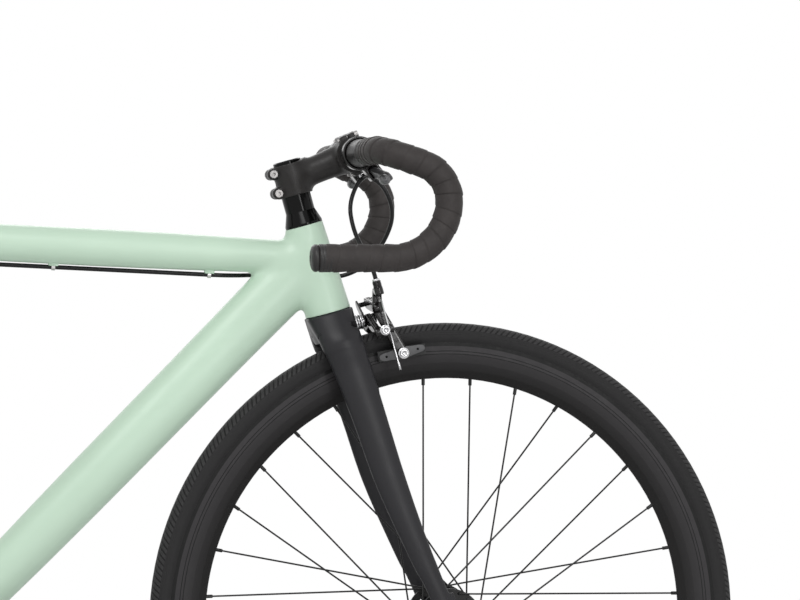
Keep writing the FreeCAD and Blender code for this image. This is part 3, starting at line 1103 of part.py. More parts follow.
cover_low = float(base_z)
cover_whole = Part.makeLoft([saddle_ring(x, half, high, sag, cover_low) for x, half, high, sag in saddle_rows], True, False)
node("saddle_cover", shape("saddle_cover", cover_whole))
shell_low = float(base_z) - 4.0
shell_solid = Part.makeLoft([shell_ring(x, half, shell_low, cover_low - 0.05) for x, half, _, _ in saddle_rows[1:-1]], True, False)
rail_room = [pipe(rounded_path([saddle.at(118, 9 * s, float(base_z) - 5), saddle.at(74, float(rail_y) * s * 0.96, 0.6),
                                saddle.at(52, float(rail_y) * s, 0), saddle.at(-52, float(rail_y) * s, 0),
                                saddle.at(-92, float(rail_y) * s * 1.25, float(base_z) - 5)], [16, 30, 22]), rail_r + 0.02)
             for s in (-1, 1)]
node("saddle_shell", shape("saddle_shell", shell_solid.cut(Part.makeCompound(rail_room))))

# Rim brakes: local X out from the crown or bridge, Z up, the cable on the -Y side.
low_y = D.rim_w / 2 + D.pad_gap
arm_gap = 0.3
plate_w = 2.3
layer_b = D.brake_spacer + arm_gap
layer_a = layer_b + D.arm_t + arm_gap
layer_end = layer_a + D.arm_t + arm_gap
side_at = (float(D.side_pivot), 17.0)
wire_y, anchor_y, anchor_z = -42.0, -38.0, -14.0


def brake(word, frame, axle, back):
    """Dual-pivot caliper; back is how far its centre bolt reaches through what carries it."""
    out = (axle - frame.origin).dot(frame.ex)
    up = (axle - frame.origin).dot(frame.ez)
    track_r = float(rim_top) - float(D.rim_track) / 2
    pad_w = float(D.pad_out)
    pad_z = up + math.sqrt(track_r ** 2 - (pad_w - out) ** 2)
    bolt_r, nut_r = D.brake_bolt_d / 2, D.brake_bolt_d / 2 + 3
    spacer = D.brake_spacer
    plate_x = float(spacer) - plate_w
    stub = Part.Shape(link(frame.at(plate_x, 0, 0), 8.0, frame.at(plate_x, *side_at), 6.5, frame.ex, plate_w))
    mount = fuse(word + "_brake_mount_whole",
                 rod(word + "_centre_bolt", bolt_r, layer_a + back + 0.1, frame.place(-back, 0, 0, "x")),
                 rod(word + "_centre_nut", nut_r, 4.5, frame.place(layer_a, 0, 0, "x")),
                 rod(word + "_spacer", 8.0, spacer - 0.05, frame.place(0.05, 0, 0, "x")),
                 rod(word + "_back_nut", nut_r, 5, frame.place(-back, 0, 0, "x")),
                 shape(word + "_pivot_plate", stub),
                 rod(word + "_side_pin", bolt_r, layer_end - spacer + 1, frame.place(spacer - 1, *side_at, "x")),
                 rod(word + "_side_nut", nut_r, 3.6, frame.place(layer_end, *side_at, "x")))
    node(word + "_brake_mount", mount)
    a0, b0, t = float(layer_a), float(layer_b), float(D.arm_t)
    barrel_x = float(D.barrel_out)
    barrel_z, barrel_h = float(D.barrel_top), 11.0

    def upright(p, rp, q, rq, y, thick):
        return link(frame.at(p[0], y, p[1]), rp, frame.at(q[0], y, q[1]), rq, frame.ey, thick)
    knee_a = (a0 + t / 2 + 0.8, 11.0)
    cable = link(frame.at(a0, *side_at), 6.6, frame.at(a0, -26.5, 12), 6.4, frame.ex, t).multiFuse([
        upright(knee_a, 6.0, (pad_w, pad_z), 6.5, -30, 7),
        upright(knee_a, 6.0, (barrel_x, barrel_z - barrel_h - 4), 5.0, -30, 7),
        Part.makeCylinder(5.2, 9, frame.at(barrel_x, wire_y, barrel_z - barrel_h - 8), frame.ez),
        link(frame.at(barrel_x, wire_y, barrel_z - barrel_h - 8), 5.2,
             frame.at(barrel_x, -28, barrel_z - barrel_h - 8), 4.6, frame.ez, 8),
        Part.makeCylinder(3.9, barrel_h, frame.at(barrel_x, wire_y, barrel_z - barrel_h), frame.ez)])
    cable = cable.cut(Part.makeCompound([
        Part.makeCylinder(float(bolt_r + D.running), 40, frame.at(a0 - 10, *side_at), frame.ex),
        Part.makeCylinder(1.9, 60, frame.at(barrel_x, wire_y, barrel_z - 40), frame.ez)]))
    node(word + "_cable_arm", shape(word + "_cable_arm", cable))
    knee_b = (b0 + t / 2, -8.0)
    anchor = link(frame.at(b0, 0, 0), 6.8, frame.at(b0, anchor_y, anchor_z), 5.4, frame.ex, t).multiFuse([
        link(frame.at(b0, 0, 0), 6.8, frame.at(b0, 26.5, -8), 5.8, frame.ex, t),
        upright(knee_b, 5.6, (pad_w, pad_z), 6.5, 23, 7),
        Part.makeCylinder(4.4, barrel_x - b0 - t - 1.2, frame.at(b0 + t - 0.2, anchor_y, anchor_z), frame.ex),
        Part.makeCylinder(2.4, 8, frame.at(barrel_x - 2, anchor_y, anchor_z), frame.ex),
        Part.makeCylinder(5.4, 4.2, frame.at(barrel_x + 1.1, anchor_y, anchor_z), frame.ex)])
    anchor = anchor.cut(Part.makeCylinder(float(bolt_r + D.running), 40, frame.at(b0 - 10, 0, 0), frame.ex))
    node(word + "_anchor_arm", shape(word + "_anchor_arm", anchor))
    radial = unit(frame.at(pad_w, 0, pad_z) - axle)
    spot = Frame(frame.at(pad_w, 0, pad_z), frame.ey.cross(radial), radial)
    face_y, back_y = float(low_y), float(low_y + D.pad_t)
    for side, name in ((-1, "cable"), (1, "anchor")):
        rubber = block("%s_%s_rubber" % (word, name), D.pad_len, D.pad_t * 0.55, D.pad_h, spot, 0,
                       side * (face_y + float(D.pad_t) * 0.275), -D.pad_h / 2 - D.pad_low)
        holder = block("%s_%s_holder_body" % (word, name), D.pad_len + 2, D.pad_t * 0.44, D.holder_h, spot, 0,
                       side * (back_y - float(D.pad_t) * 0.22), -D.holder_h / 2)
        y0 = back_y - 0.5 if side > 0 else -33.0
        stud = rod("%s_%s_stud" % (word, name), 2.6, 33.0 - back_y + 0.5, spot.place(0, y0, 0, "y"))
        y1 = 30.05 if side > 0 else -33.0
        nut = rod("%s_%s_pad_nut" % (word, name), 4.4, 2.95, spot.place(0, y1, 0, "y"))
        held = fuse("%s_%s_holder" % (word, name), holder, stud, nut)
        node("%s_%s_pad" % (word, name), group("%s_%s_pad" % (word, name), rubber, held))
        arm = NODES["%s_%s_arm" % (word, name)]
        hole = Part.makeCylinder(2.65, 60, spot.at(0, -30 if side > 0 else -60, 0) + frame.ey * (30 if side > 0 else 0), frame.ey)
        arm.Shape = arm.Shape.cut(hole)
    wire = Part.makeCylinder(float(D.wire_d) / 2, barrel_z + 40, frame.at(barrel_x, wire_y, -42), frame.ez)
    crimp = Part.makeCylinder(float(D.wire_d) / 2 + 0.6, 6, frame.at(barrel_x, wire_y, -47), frame.ez)
    node(word + "_brake_wire", shape(word + "_brake_wire", wire.fuse(crimp)))
    return frame.at(barrel_x, wire_y, barrel_z), frame


front_brake = steer.moved(D.crown_len / 2 + 1.2, 0, -D.brake_drop)
rear_brake = Frame(bridge.at(D.bridge_d / 2 + 0.1, 0, 0), bridge.ex, bridge.ez)
front_barrel, _ = brake("front", front_brake, front_axle_at, float(D.crown_len) + 8)
rear_barrel, _ = brake("rear", rear_brake, rear_axle_at, float(D.bridge_d) + 7)

# Brake cables: straight runs and tangent arcs.
def from_front(x, y, z):
    """A point measured from the front axle."""
    return front_axle_at + vec(x, y, z)


starts = {word: lever.at(pivot_x + cable_out, -side * 19.1, 0) for word, side, lever in
          (("right", -1, lever_frames["right"]), ("left", 1, lever_frames["left"]))}
front_in = front_barrel + steer_up * 0.1
front_route = [starts["right"], starts["right"] + vec(0, 46, 0), from_front(-124, 4, 468), front_in + steer_up * 62, front_in]
node("front_brake_housing", shape("front_brake_housing", pipe(rounded_path(front_route, [26, 40, 40]), housing_r)))
clip_a, clip_b, clip_c = clip_points
tube_way = unit(clip_c - clip_a)
lead_end = clip_a - tube_way * 7
rear_route = [starts["left"], starts["left"] + vec(0, -44, 0), from_front(-52, 8, 462), from_front(-86, 34, 392),
              from_front(-150, 34, 391), from_front(-205, 31, 396), lead_end - tube_way * 14, lead_end]
node("rear_brake_lead", shape("rear_brake_lead", pipe(rounded_path(rear_route, [24, 40, 26, 60, 40, 30]), housing_r)))
rear_in = rear_barrel + rear_brake.ez * 0.1
housing_route = [lead_end + tube_way * 0.1, clip_c + tube_way * 26, seat.at(0, 27, D.seat_joint - 48),
                 seat.at(-70, 44, D.seat_joint - 20), rear_in + rear_brake.ez * 60, rear_in]
node("rear_brake_housing", shape("rear_brake_housing", pipe(rounded_path(housing_route, [40, 40, 40, 30]), housing_r)))

doc.recompute()
broken = [o.Name for o in doc.Objects if "Invalid" in o.State or "Error" in o.State]
if broken:
    raise RuntimeError("objects that failed: %s" % broken)
os.makedirs("parts", exist_ok=True)
for name, obj in NODES.items():
    if obj.Shape.isNull() or not obj.Shape.isValid() or not obj.Shape.Solids:
        raise RuntimeError("bad shape: %s" % name)
    obj.Shape.exportStep("parts/%s.step" % name)
print("%d nodes, wheelbase %.1f, chainstay %.2f" % (len(NODES), wheelbase, centre_distance))
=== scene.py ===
"""Dress of a fixed gear bike: paint, tape, saddle, tyres, cables and small fittings round its frame."""
import json
import math

import bmesh
import bpy
import numpy as np
from bpy.props import FloatProperty, FloatVectorProperty, PointerProperty
from mathutils import Matrix, Vector


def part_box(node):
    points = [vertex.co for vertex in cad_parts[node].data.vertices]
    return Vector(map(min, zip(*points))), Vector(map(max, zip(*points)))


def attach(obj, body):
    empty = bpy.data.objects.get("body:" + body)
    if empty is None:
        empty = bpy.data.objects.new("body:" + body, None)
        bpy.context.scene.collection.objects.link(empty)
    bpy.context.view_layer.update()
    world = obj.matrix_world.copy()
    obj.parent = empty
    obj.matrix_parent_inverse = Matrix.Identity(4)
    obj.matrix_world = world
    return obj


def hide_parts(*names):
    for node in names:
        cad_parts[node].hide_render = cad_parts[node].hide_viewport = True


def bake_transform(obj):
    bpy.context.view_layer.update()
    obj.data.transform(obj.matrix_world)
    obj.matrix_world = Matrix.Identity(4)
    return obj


bl_info = {
    "name": "Fixed Gear Bike Dress",
    "version": (1, 0, 0),
    "blender": (4, 5, 0),
    "location": "3D View > Sidebar > Bike",
    "description": "Builds the skins, soft pieces, cables and finishes of a fixed gear bike",
    "category": "Object",
}

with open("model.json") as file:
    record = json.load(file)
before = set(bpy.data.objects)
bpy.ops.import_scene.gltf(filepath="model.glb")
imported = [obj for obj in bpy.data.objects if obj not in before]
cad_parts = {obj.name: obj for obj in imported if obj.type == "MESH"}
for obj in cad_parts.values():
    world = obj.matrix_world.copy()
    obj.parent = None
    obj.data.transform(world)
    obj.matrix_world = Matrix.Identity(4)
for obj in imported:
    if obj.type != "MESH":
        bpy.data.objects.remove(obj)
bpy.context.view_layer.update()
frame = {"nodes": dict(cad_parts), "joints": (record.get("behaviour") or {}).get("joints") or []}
NODE = frame["nodes"]
JOINT = {j["name"]: j for j in frame["joints"]}
MM = 0.001


def joint_point(name):
    return Vector(JOINT[name]["pos_m"])


CROWN, STEER_UP = joint_point("steering_turn"), Vector(JOINT["steering_turn"]["axis"])
SEAT_UP = Vector(JOINT["seatpost_slide"]["axis"])
FRONT_AXLE, REAR_AXLE = joint_point("front_wheel_spin"), joint_point("rear_wheel_spin")
BB = joint_point("crank_spin")
SIDE = Vector((0, 1, 0))
STEER_FWD = SIDE.cross(STEER_UP)


def up_steerer(height):
    """A point on the steering axis, above the fork's crown."""
    return CROWN + STEER_UP * height


def up_seat_tube(height):
    """A point on the seat tube's axis, above the bottom bracket."""
    return BB + SEAT_UP * height


def colour_setting(name, description, default):
    return FloatVectorProperty(name=name, description=description, size=3, subtype="COLOR", min=0, max=1,
                               default=default)


def length_setting(name, description, default, low, high):
    return FloatProperty(name=name, description=description, subtype="DISTANCE", default=default, min=low, max=high)


class BikeColours(bpy.types.PropertyGroup):
    """Colours of the bike's finishes."""

    frame_paint: colour_setting("Frame paint", "Satin colour of the welded frame", (0.56, 0.735, 0.585))
    fork_black: colour_setting("Fork", "Matte colour of the fork", (0.022, 0.0215, 0.024))
    tape_black: colour_setting("Tape", "Colour of the bar tape", (0.034, 0.0295, 0.0285))
    tyre_black: colour_setting("Tyre", "Colour of the tyre rubber", (0.024, 0.0235, 0.024))
    part_black: colour_setting("Alloy", "Colour of the black alloy parts", (0.010, 0.0095, 0.0095))


class BikeSizes(bpy.types.PropertyGroup):
    """Sizes of the pieces made here."""

    tape_pitch: length_setting("Tape pitch", "Step of one wrap along the bar", 0.0165, 0.008, 0.03)
    tape_step: length_setting("Tape lap", "Height of the lap of one wrap over the last", 0.0008, 0, 0.003)
    weld_blend: length_setting("Weld", "Reach of the smooth welds between the frame's tubes", 0.011, 0.002, 0.03)
    skin_voxel: length_setting("Skin grid", "Grid on which the frame's tubes are merged", 0.0028, 0.0015, 0.006)
    housing_d: length_setting("Housing", "Diameter of the brake cables' housing", 0.005, 0.003, 0.008)
    focal: FloatProperty(name="Lens", description="Focal length of the view on a 36 mm wide sensor", default=155.7,
                         min=20, max=400)


def colour(name):
    return tuple(getattr(bpy.context.scene.bike_colours, name))


def size(name):
    return getattr(bpy.context.scene.bike_sizes, name)


# Finishes.


class Finish:
    """A principled material with a few helpers to wire its textures."""

    def __init__(self, name, base, rough, metallic=0.0, specular=0.5, coat=0.0):
        self.material = bpy.data.materials.new(name)
        self.material.use_nodes = True
        self.tree = self.material.node_tree
        self.shader = self.tree.nodes["Principled BSDF"]
        self.base = base
        for socket, value in (("Base Color", (*base, 1)), ("Roughness", rough), ("Metallic", metallic),
                              ("Specular IOR Level", specular), ("Coat Weight", coat), ("Coat Roughness", 0.25)):
            self.shader.inputs[socket].default_value = value
        self.coords = self.add("ShaderNodeTexCoord").outputs["Object"]
        self.height = None

    def add(self, kind, **values):
        node = self.tree.nodes.new(kind)
        for key, value in values.items():
            setattr(node, key, value)
        return node

    def link(self, a, b):
        self.tree.links.new(a, b)

    def noise(self, scale, detail):
        node = self.add("ShaderNodeTexNoise")
        for key, value in (("Scale", scale), ("Detail", detail), ("Roughness", 0.55), ("Vector", self.coords)):
            self.feed(node.inputs[key], value)
        return node.outputs["Fac"]

    def ranged(self, value, low, high, from_low=0.25, from_high=0.75):
        node = self.add("ShaderNodeMapRange")
        for key, number in (("Value", value), ("From Min", from_low), ("From Max", from_high), ("To Min", low),
                            ("To Max", high)):
            self.feed(node.inputs[key], number)
        return node.outputs["Result"]

    def feed(self, socket, value):
        """Links an output to a socket, or sets a number or colour there."""
        if hasattr(value, "is_output"):
            self.link(value, socket)
        else:
            socket.default_value = value

    def math(self, operation, a, b=0.0, c=0.5):
        node = self.add("ShaderNodeMath", operation=operation)
        for socket, value in zip(node.inputs, (a, b, c)):
            self.feed(socket, value)
        return node.outputs[0]

    def mix(self, factor, a, b):
        node = self.add("ShaderNodeMix", data_type="RGBA")
        for index, value in ((0, factor), (6, a), (7, b)):
            self.feed(node.inputs[index], (*value, 1) if isinstance(value, tuple) else value)
        return node.outputs[2]

    def textured(self, rough, tones, vary, glosses, spread, grains, depth):
        """Uneven tone and gloss and a fine grain, each from a noise of some scale and detail."""
        low, high = (tuple(min(1, c * k) for c in self.base) for k in (1 - vary, 1 + vary))
        self.link(self.mix(self.noise(*tones), low, high), self.shader.inputs["Base Color"])
        gloss = self.ranged(self.noise(*glosses), rough - spread[0], rough + spread[1])
        self.link(gloss, self.shader.inputs["Roughness"])
        return self.bump(self.noise(*grains), depth)

    def bump(self, height, distance):
        """Adds a relief on top of any that is there."""
        node = self.add("ShaderNodeBump")
        for key, value in (("Strength", 1.0), ("Distance", distance), ("Height", height)):
            self.feed(node.inputs[key], value)
        if self.height is not None:
            self.link(self.height, node.inputs["Normal"])
        self.height = node.outputs["Normal"]
        self.link(self.height, self.shader.inputs["Normal"])
        return self

    def polar(self, centre):
        """Angle, radius and side distance of a point about a wheel's axle."""
        split = self.add("ShaderNodeSeparateXYZ")
        self.link(self.coords, split.inputs[0])
        x = self.math("SUBTRACT", split.outputs["X"], centre.x)
        z = self.math("SUBTRACT", split.outputs["Z"], centre.z)
        angle = self.math("ARCTAN2", z, x)
        radius = self.math("SQRT", self.math("ADD", self.math("MULTIPLY", x, x), self.math("MULTIPLY", z, z)))
        return angle, radius, split.outputs["Y"]


def painted(name, base, rough, coat=0.0, peel=0.00003, vary=0.04, specular=0.5):
    """Sprayed paint: a faint drift of tone, slight orange peel and uneven gloss."""
    f = Finish(name, base, rough, specular=specular, coat=coat)
    return f.textured(rough, (9, 2), vary, (40, 3), (0.05, 0.06), (900, 2), peel)


def alloy(name, base, rough, metallic=0.0, grain=1200, depth=0.00002, vary=0.12, specular=0.5):
    """Bead-blasted or anodised metal with a fine grain."""
    f = Finish(name, base, rough, metallic=metallic, specular=specular)
    return f.textured(rough, (60, 4), vary, (150, 3), (0.07, 0.08), (grain, 3), depth)


def moulded(name, base, rough, grain=1500, depth=0.00003, vary=0.15, specular=0.4):
    """Rubber or plastic with a moulded grain."""
    f = Finish(name, base, rough, specular=specular)
    return f.textured(rough, (70, 4), vary, (200, 2), (0.06, 0.06), (grain, 3), depth)


# The last of these blacks is painted shade: it darkens the rim's grooves, the gap above the rim's edge under the
# tyre, and the discs that stand in for the pad holders' holes.
RIM_BLACK, TRACK_BLACK, PAINTED_SHADE_BLACK = (0.011, 0.0105, 0.0105), (0.034, 0.032, 0.034), (0.004, 0.004, 0.004)
TRACK_GROOVES, GROOVE_HALF, RIM_EDGE_R = (0.3036, 0.3070), 0.00045, 0.3128
# The tyre's section is read as an angle from its crown: where the tread ends, and where a ridge runs below it.
TYRE_MID_R, TREAD_END, RIDGE_AT, RIDGE_HALF = 0.325, (1.12, 1.18), 1.42, 0.08
# Tones of the tread against the side wall: the darker one is painted shade in the cuts, the paler one the ribs
# between them.
TREAD_CUTS, TREAD_SLANT, TREAD_CUT_SHADE_AND_RIB_TONES = 330.0, 9.0, (0.45, 1.7)


def tyre_rubber(name, centre):
    """Smooth side walls under a ridge, and a tread of fine slanted cuts, painted darker as shade in the cuts and
    paler on the ribs between them.
    """
    black = colour("tyre_black")
    f = moulded(name, black, 0.6, specular=0.16)
    angle, radius, y = f.polar(centre)
    section = f.math("ARCTAN2", f.math("ABSOLUTE", y), f.math("SUBTRACT", radius, TYRE_MID_R))
    cuts = f.math("SINE", f.math("SUBTRACT", f.math("MULTIPLY", angle, TREAD_CUTS),
                                 f.math("MULTIPLY", section, TREAD_SLANT)))
    on_tread = f.ranged(section, 1.0, 0.0, *TREAD_END)
    tread = f.math("MULTIPLY", f.ranged(cuts, 0.0, 1.0, -0.95, -0.2), on_tread)
    ridge = f.math("COMPARE", section, RIDGE_AT, RIDGE_HALF)
    # Painted shade: the tread's cuts are darker than the rubber, and the ribs between them paler.
    low, high = (tuple(c * k for c in black) for k in TREAD_CUT_SHADE_AND_RIB_TONES)
    f.link(f.mix(on_tread, black, f.mix(tread, low, high)), f.shader.inputs["Base Color"])
    return f.bump(f.math("ADD", tread, ridge), 0.0005)


def rim_metal(name, centre):
    """Anodised rim: a paler brake track with two grooves darkened as painted shade, and a dark band of painted shade
    above it, in the gap under the tyre.
    """
    f = alloy(name, RIM_BLACK, 0.42, specular=0.2)
    _, radius, _ = f.polar(centre)
    grooves = f.math("ADD", *(f.math("COMPARE", radius, at, GROOVE_HALF) for at in TRACK_GROOVES))
    track = f.mix(f.ranged(radius, 0.0, 1.0, TRACK_GROOVES[0] - 0.02, TRACK_GROOVES[1]), RIM_BLACK, TRACK_BLACK)
    # Painted shade: the grooves, and the band above RIM_EDGE_R in the gap under the tyre, are darkened.
    dark = f.math("MAXIMUM", grooves, f.math("GREATER_THAN", radius, RIM_EDGE_R))
    f.link(f.mix(dark, track, PAINTED_SHADE_BLACK), f.shader.inputs["Base Color"])
    return f.bump(grooves, -0.0002)


FINISH = {}


def make_finishes():
    black = colour("part_black")
    FINISH.update(
        mint=painted("mint_paint", colour("frame_paint"), 0.42, 0.25),
        fork=painted("fork_paint", colour("fork_black"), 0.4, vary=0.1, specular=0.25),
        gloss=painted("gloss_black", (0.003, 0.003, 0.003), 0.12, peel=0.000005, specular=0.14),
        alloy=alloy("black_alloy", black, 0.45, specular=0.3),
        stem=alloy("stem_black", (0.020, 0.0185, 0.018), 0.4, specular=0.25),
        caliper=alloy("black_polished", (0.006, 0.005, 0.005), 0.14, grain=500, depth=0.000004, vary=0.2,
                      specular=0.45),
        holder=alloy("holder_grey", (0.085, 0.085, 0.088), 0.5),
        # Dark finish of the discs that stand in for holes, as painted shade.
        dark=moulded("hole_dark", PAINTED_SHADE_BLACK, 0.7, specular=0.1),
        front_rim=rim_metal("front_rim_black", FRONT_AXLE),
        rear_rim=rim_metal("rear_rim_black", REAR_AXLE),
        silver=alloy("silver_alloy", (0.66, 0.66, 0.67), 0.25, 1.0),
        satin=alloy("satin_grey", (0.16, 0.16, 0.165), 0.35, 0.5),
        bar=alloy("bar_black", (0.022, 0.021, 0.021), 0.36, specular=0.35),
        grey=alloy("grey_alloy", (0.09, 0.088, 0.092), 0.45, 0.3),
        bolt=alloy("bolt_steel", (0.30, 0.29, 0.285), 0.38, 0.9),
        steel=alloy("plated_steel", (0.62, 0.61, 0.60), 0.22, 1.0),
        spoke=alloy("spoke_black", (0.008, 0.008, 0.008), 0.32, specular=0.3),
        front_tyre=tyre_rubber("front_tyre_rubber", FRONT_AXLE),
        rear_tyre=tyre_rubber("rear_tyre_rubber", REAR_AXLE),
        pad=moulded("pad_rubber", (0.03, 0.03, 0.03), 0.7),
        tape=moulded("tape_skin", colour("tape_black"), 0.62, grain=420, depth=0.00022, vary=0.35, specular=0.3),
        band=moulded("tape_band", (0.018, 0.017, 0.017), 0.42, vary=0.1),
        housing=moulded("cable_housing", (0.006, 0.006, 0.0065), 0.3, specular=0.28),
        plastic=moulded("black_plastic", (0.02, 0.02, 0.021), 0.5),
        leather=moulded("saddle_skin", (0.022, 0.022, 0.023), 0.55, grain=450, depth=0.0002),
    )


NODE_FINISH = {
    "mint": ("head_tube", "bottom_bracket_shell", "seat_tube", "down_tube", "top_tube", "chainstays", "seatstays"),
    "fork": ("fork",),
    "bar": ("handlebar",),
    "bolt": ("stem_bolts",),
    "gloss": ("headset_spacers",),
    "alloy": ("seat_clamp", "bottom_bracket", "stem", "stem_faceplate", "lever_brackets", "front_hub",
              "rear_hub", "right_pedal", "left_pedal", "seatpost", "crank_arms", "chainring"),
    "caliper": ("rear_brake_mount", "front_brake_mount", "front_cable_arm", "front_anchor_arm", "rear_cable_arm",
                "rear_anchor_arm"),
    "front_rim": ("front_rim",),
    "rear_rim": ("rear_rim",),
    "grey": ("right_brake_lever", "left_brake_lever"),
    "steel": ("headset_bearings", "rear_axle", "front_axle", "chain_inner_links", "chain_outer_links",
              "front_brake_wire", "rear_brake_wire", "fixed_cog", "crank_axles", "crank_bolts", "saddle_rails",
              "cable_clips"),
    "spoke": ("front_spokes", "rear_spokes"),
    "front_tyre": ("front_tyre",),
    "rear_tyre": ("rear_tyre",),
    "pad": ("front_cable_pad", "front_anchor_pad", "rear_cable_pad", "rear_anchor_pad"),
    "tape": ("bar_tape",),
    "housing": ("rear_brake_housing", "front_brake_housing", "rear_brake_lead"),
    "plastic": ("bar_end_plugs", "saddle_shell"),
    "leather": ("saddle_cover",),
}


class BIKE_OT_finishes(bpy.types.Operator):
    """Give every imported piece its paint, metal or rubber"""

    bl_idname = "bike.finishes"
    bl_label = "Finishes"

    def execute(self, context):
        make_finishes()
        for key, names in NODE_FINISH.items():
            for name in names:
                slots = NODE[name].data.materials
                slots.clear()
                slots.append(FINISH[key].material)
        return {"FINISHED"}


# Mesh helpers.


SHARP = math.radians(50)
MERGE = 1e-6


def placed(name, data):
    """A new object in the scene."""
    thing = bpy.data.objects.new(name, data)
    bpy.context.scene.collection.objects.link(thing)
    return thing


def as_mesh(bm, name):
    """The mesh of a bmesh, which is used up."""
    mesh = bpy.data.meshes.new(name)
    bm.to_mesh(mesh)
    bm.free()
    return mesh


def as_bmesh(mesh):
    bm = bmesh.new()
    bm.from_mesh(mesh)
    return bm


def linked(mesh, name, finish, body, replaces=(), slot=None):
    """Turns a mesh into a piece that rides on a body."""
    mesh.shade_smooth()
    mesh.materials.clear()
    mesh.materials.append(FINISH[finish].material)
    piece = placed(name, mesh)
    if body:
        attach(piece, body)
    if replaces:
        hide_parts(*replaces)
    return piece


def finished(bm, name, finish, body, **options):
    """Turns a bmesh into a piece that rides on a body."""
    return linked(as_mesh(bm, name), name, finish, body, **options)


def soft_piece(node, name, finish, body, voxel, rounds, chosen=None):
    """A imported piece, rounded off, that takes its node's place."""
    return finished(softened(node, voxel, rounds, chosen), name, finish, body, replaces=(node,))


def baked(piece):
    """The mesh of a piece with its modifiers applied."""
    graph = bpy.context.evaluated_depsgraph_get()
    return bpy.data.meshes.new_from_object(piece.evaluated_get(graph))


def frame_at(origin, forward, side):
    """A matrix whose local Z runs forward and whose local X lies to the side."""
    z = Vector(forward).normalized()
    y = z.cross(Vector(side)).normalized()
    return Matrix.Translation(origin) @ Matrix((y.cross(z), y, z)).transposed().to_4x4()


def frame_along(matrix, steps, distance):
    """The frame at a distance along straight runs and bends, each a length, a radius and an axis."""
    for length, radius, axis in steps:
        part = min(distance, length)
        forward = matrix.to_3x3().col[2]
        if radius:
            centre = Matrix.Translation(matrix.translation + axis.cross(forward) * radius)
            matrix = centre @ Matrix.Rotation(part / radius, 4, axis) @ centre.inverted() @ matrix
        else:
            matrix = Matrix.Translation(forward * part) @ matrix
        distance -= part
    return matrix


def capped(bm):
    """Closes every open end and turns all faces outwards."""
    bmesh.ops.holes_fill(bm, edges=[e for e in bm.edges if e.is_boundary], sides=0)
    bmesh.ops.recalc_face_normals(bm, faces=bm.faces)


def wrapped(columns, rows, place):
    """A sheet of quads put in place by column and row, its touching borders merged and its ends closed."""
    bm = bmesh.new()
    bmesh.ops.create_grid(bm, x_segments=columns, y_segments=rows, size=0.5)
    for v in bm.verts:
        v.co = place(round((v.co.x + 0.5) * columns), round((v.co.y + 0.5) * rows))
    bmesh.ops.remove_doubles(bm, verts=bm.verts, dist=MERGE)
    capped(bm)
    return bm


def turned(rows, matrix, segments=40):
    """A turned shape: (height along local Z, radius) rows spun about the axis of a frame."""
    bm = bmesh.new()
    verts = [bm.verts.new((r, 0, z)) for z, r in rows]
    edges = [bm.edges.new(pair) for pair in zip(verts, verts[1:])]
    bmesh.ops.spin(bm, geom=verts + edges, cent=(0, 0, 0), axis=(0, 0, 1), angle=2 * math.pi, steps=segments,
                   use_merge=True)
    bmesh.ops.remove_doubles(bm, verts=bm.verts, dist=MERGE)
    capped(bm)
    bmesh.ops.transform(bm, matrix=matrix, verts=bm.verts)
    return bm


def joined(parts):
    """One bmesh of several."""
    whole = bmesh.new()
    for bm in parts:
        mesh = as_mesh(bm, "part")
        whole.from_mesh(mesh)
        bpy.data.meshes.remove(mesh)
    return whole


def thickened(bm, way):
    """Extrudes a flat bmesh into a solid."""
    made = bmesh.ops.extrude_face_region(bm, geom=list(bm.faces))["geom"]
    bmesh.ops.translate(bm, vec=way, verts=[v for v in made if isinstance(v, bmesh.types.BMVert)])
    bmesh.ops.recalc_face_normals(bm, faces=bm.faces)


def eased(bm, edges):
    """Takes the sharpness off edges."""
    bmesh.ops.bevel(bm, geom=edges, offset=0.0005, offset_type="OFFSET", affect="EDGES", segments=2, profile=0.5,
                    material=-1)


def even_mesh(mesh, voxel):
    """A mesh of even faces round another."""
    rough = placed("scratch", mesh)
    remesh = rough.modifiers.new("even", "REMESH")
    remesh.mode, remesh.voxel_size = "VOXEL", voxel
    fine = baked(rough)
    bpy.data.objects.remove(rough)
    return fine


def smoothed(bm, rounds, verts=None):
    """Smooths all points, or only those given."""
    for _ in range(rounds):
        bmesh.ops.smooth_vert(bm, verts=bm.verts if verts is None else verts, factor=0.5, use_axis_x=True,
                              use_axis_y=True, use_axis_z=True)


def even_node(node, voxel, gap=MERGE):
    """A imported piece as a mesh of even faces."""
    bm = as_bmesh(NODE[node].data)
    bmesh.ops.remove_doubles(bm, verts=bm.verts, dist=gap)
    return even_mesh(as_mesh(bm, node), voxel)


def softened(node, voxel, rounds, chosen=None):
    """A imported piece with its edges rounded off, everywhere or at chosen points."""
    bm = as_bmesh(even_node(node, voxel))
    smoothed(bm, rounds, chosen and [v for v in bm.verts if chosen(v.co)])
    return bm


def round_pin(bm, centre, half, radius):
    """A closed round bar across the bike."""
    bmesh.ops.create_cone(bm, cap_ends=True, segments=40, radius1=radius, radius2=radius, depth=2 * half,
                          matrix=Matrix.Translation(centre) @ Matrix.Rotation(math.pi / 2, 4, "X"))


# Welded frame: head, top and down tubes as one skin with smooth welds.

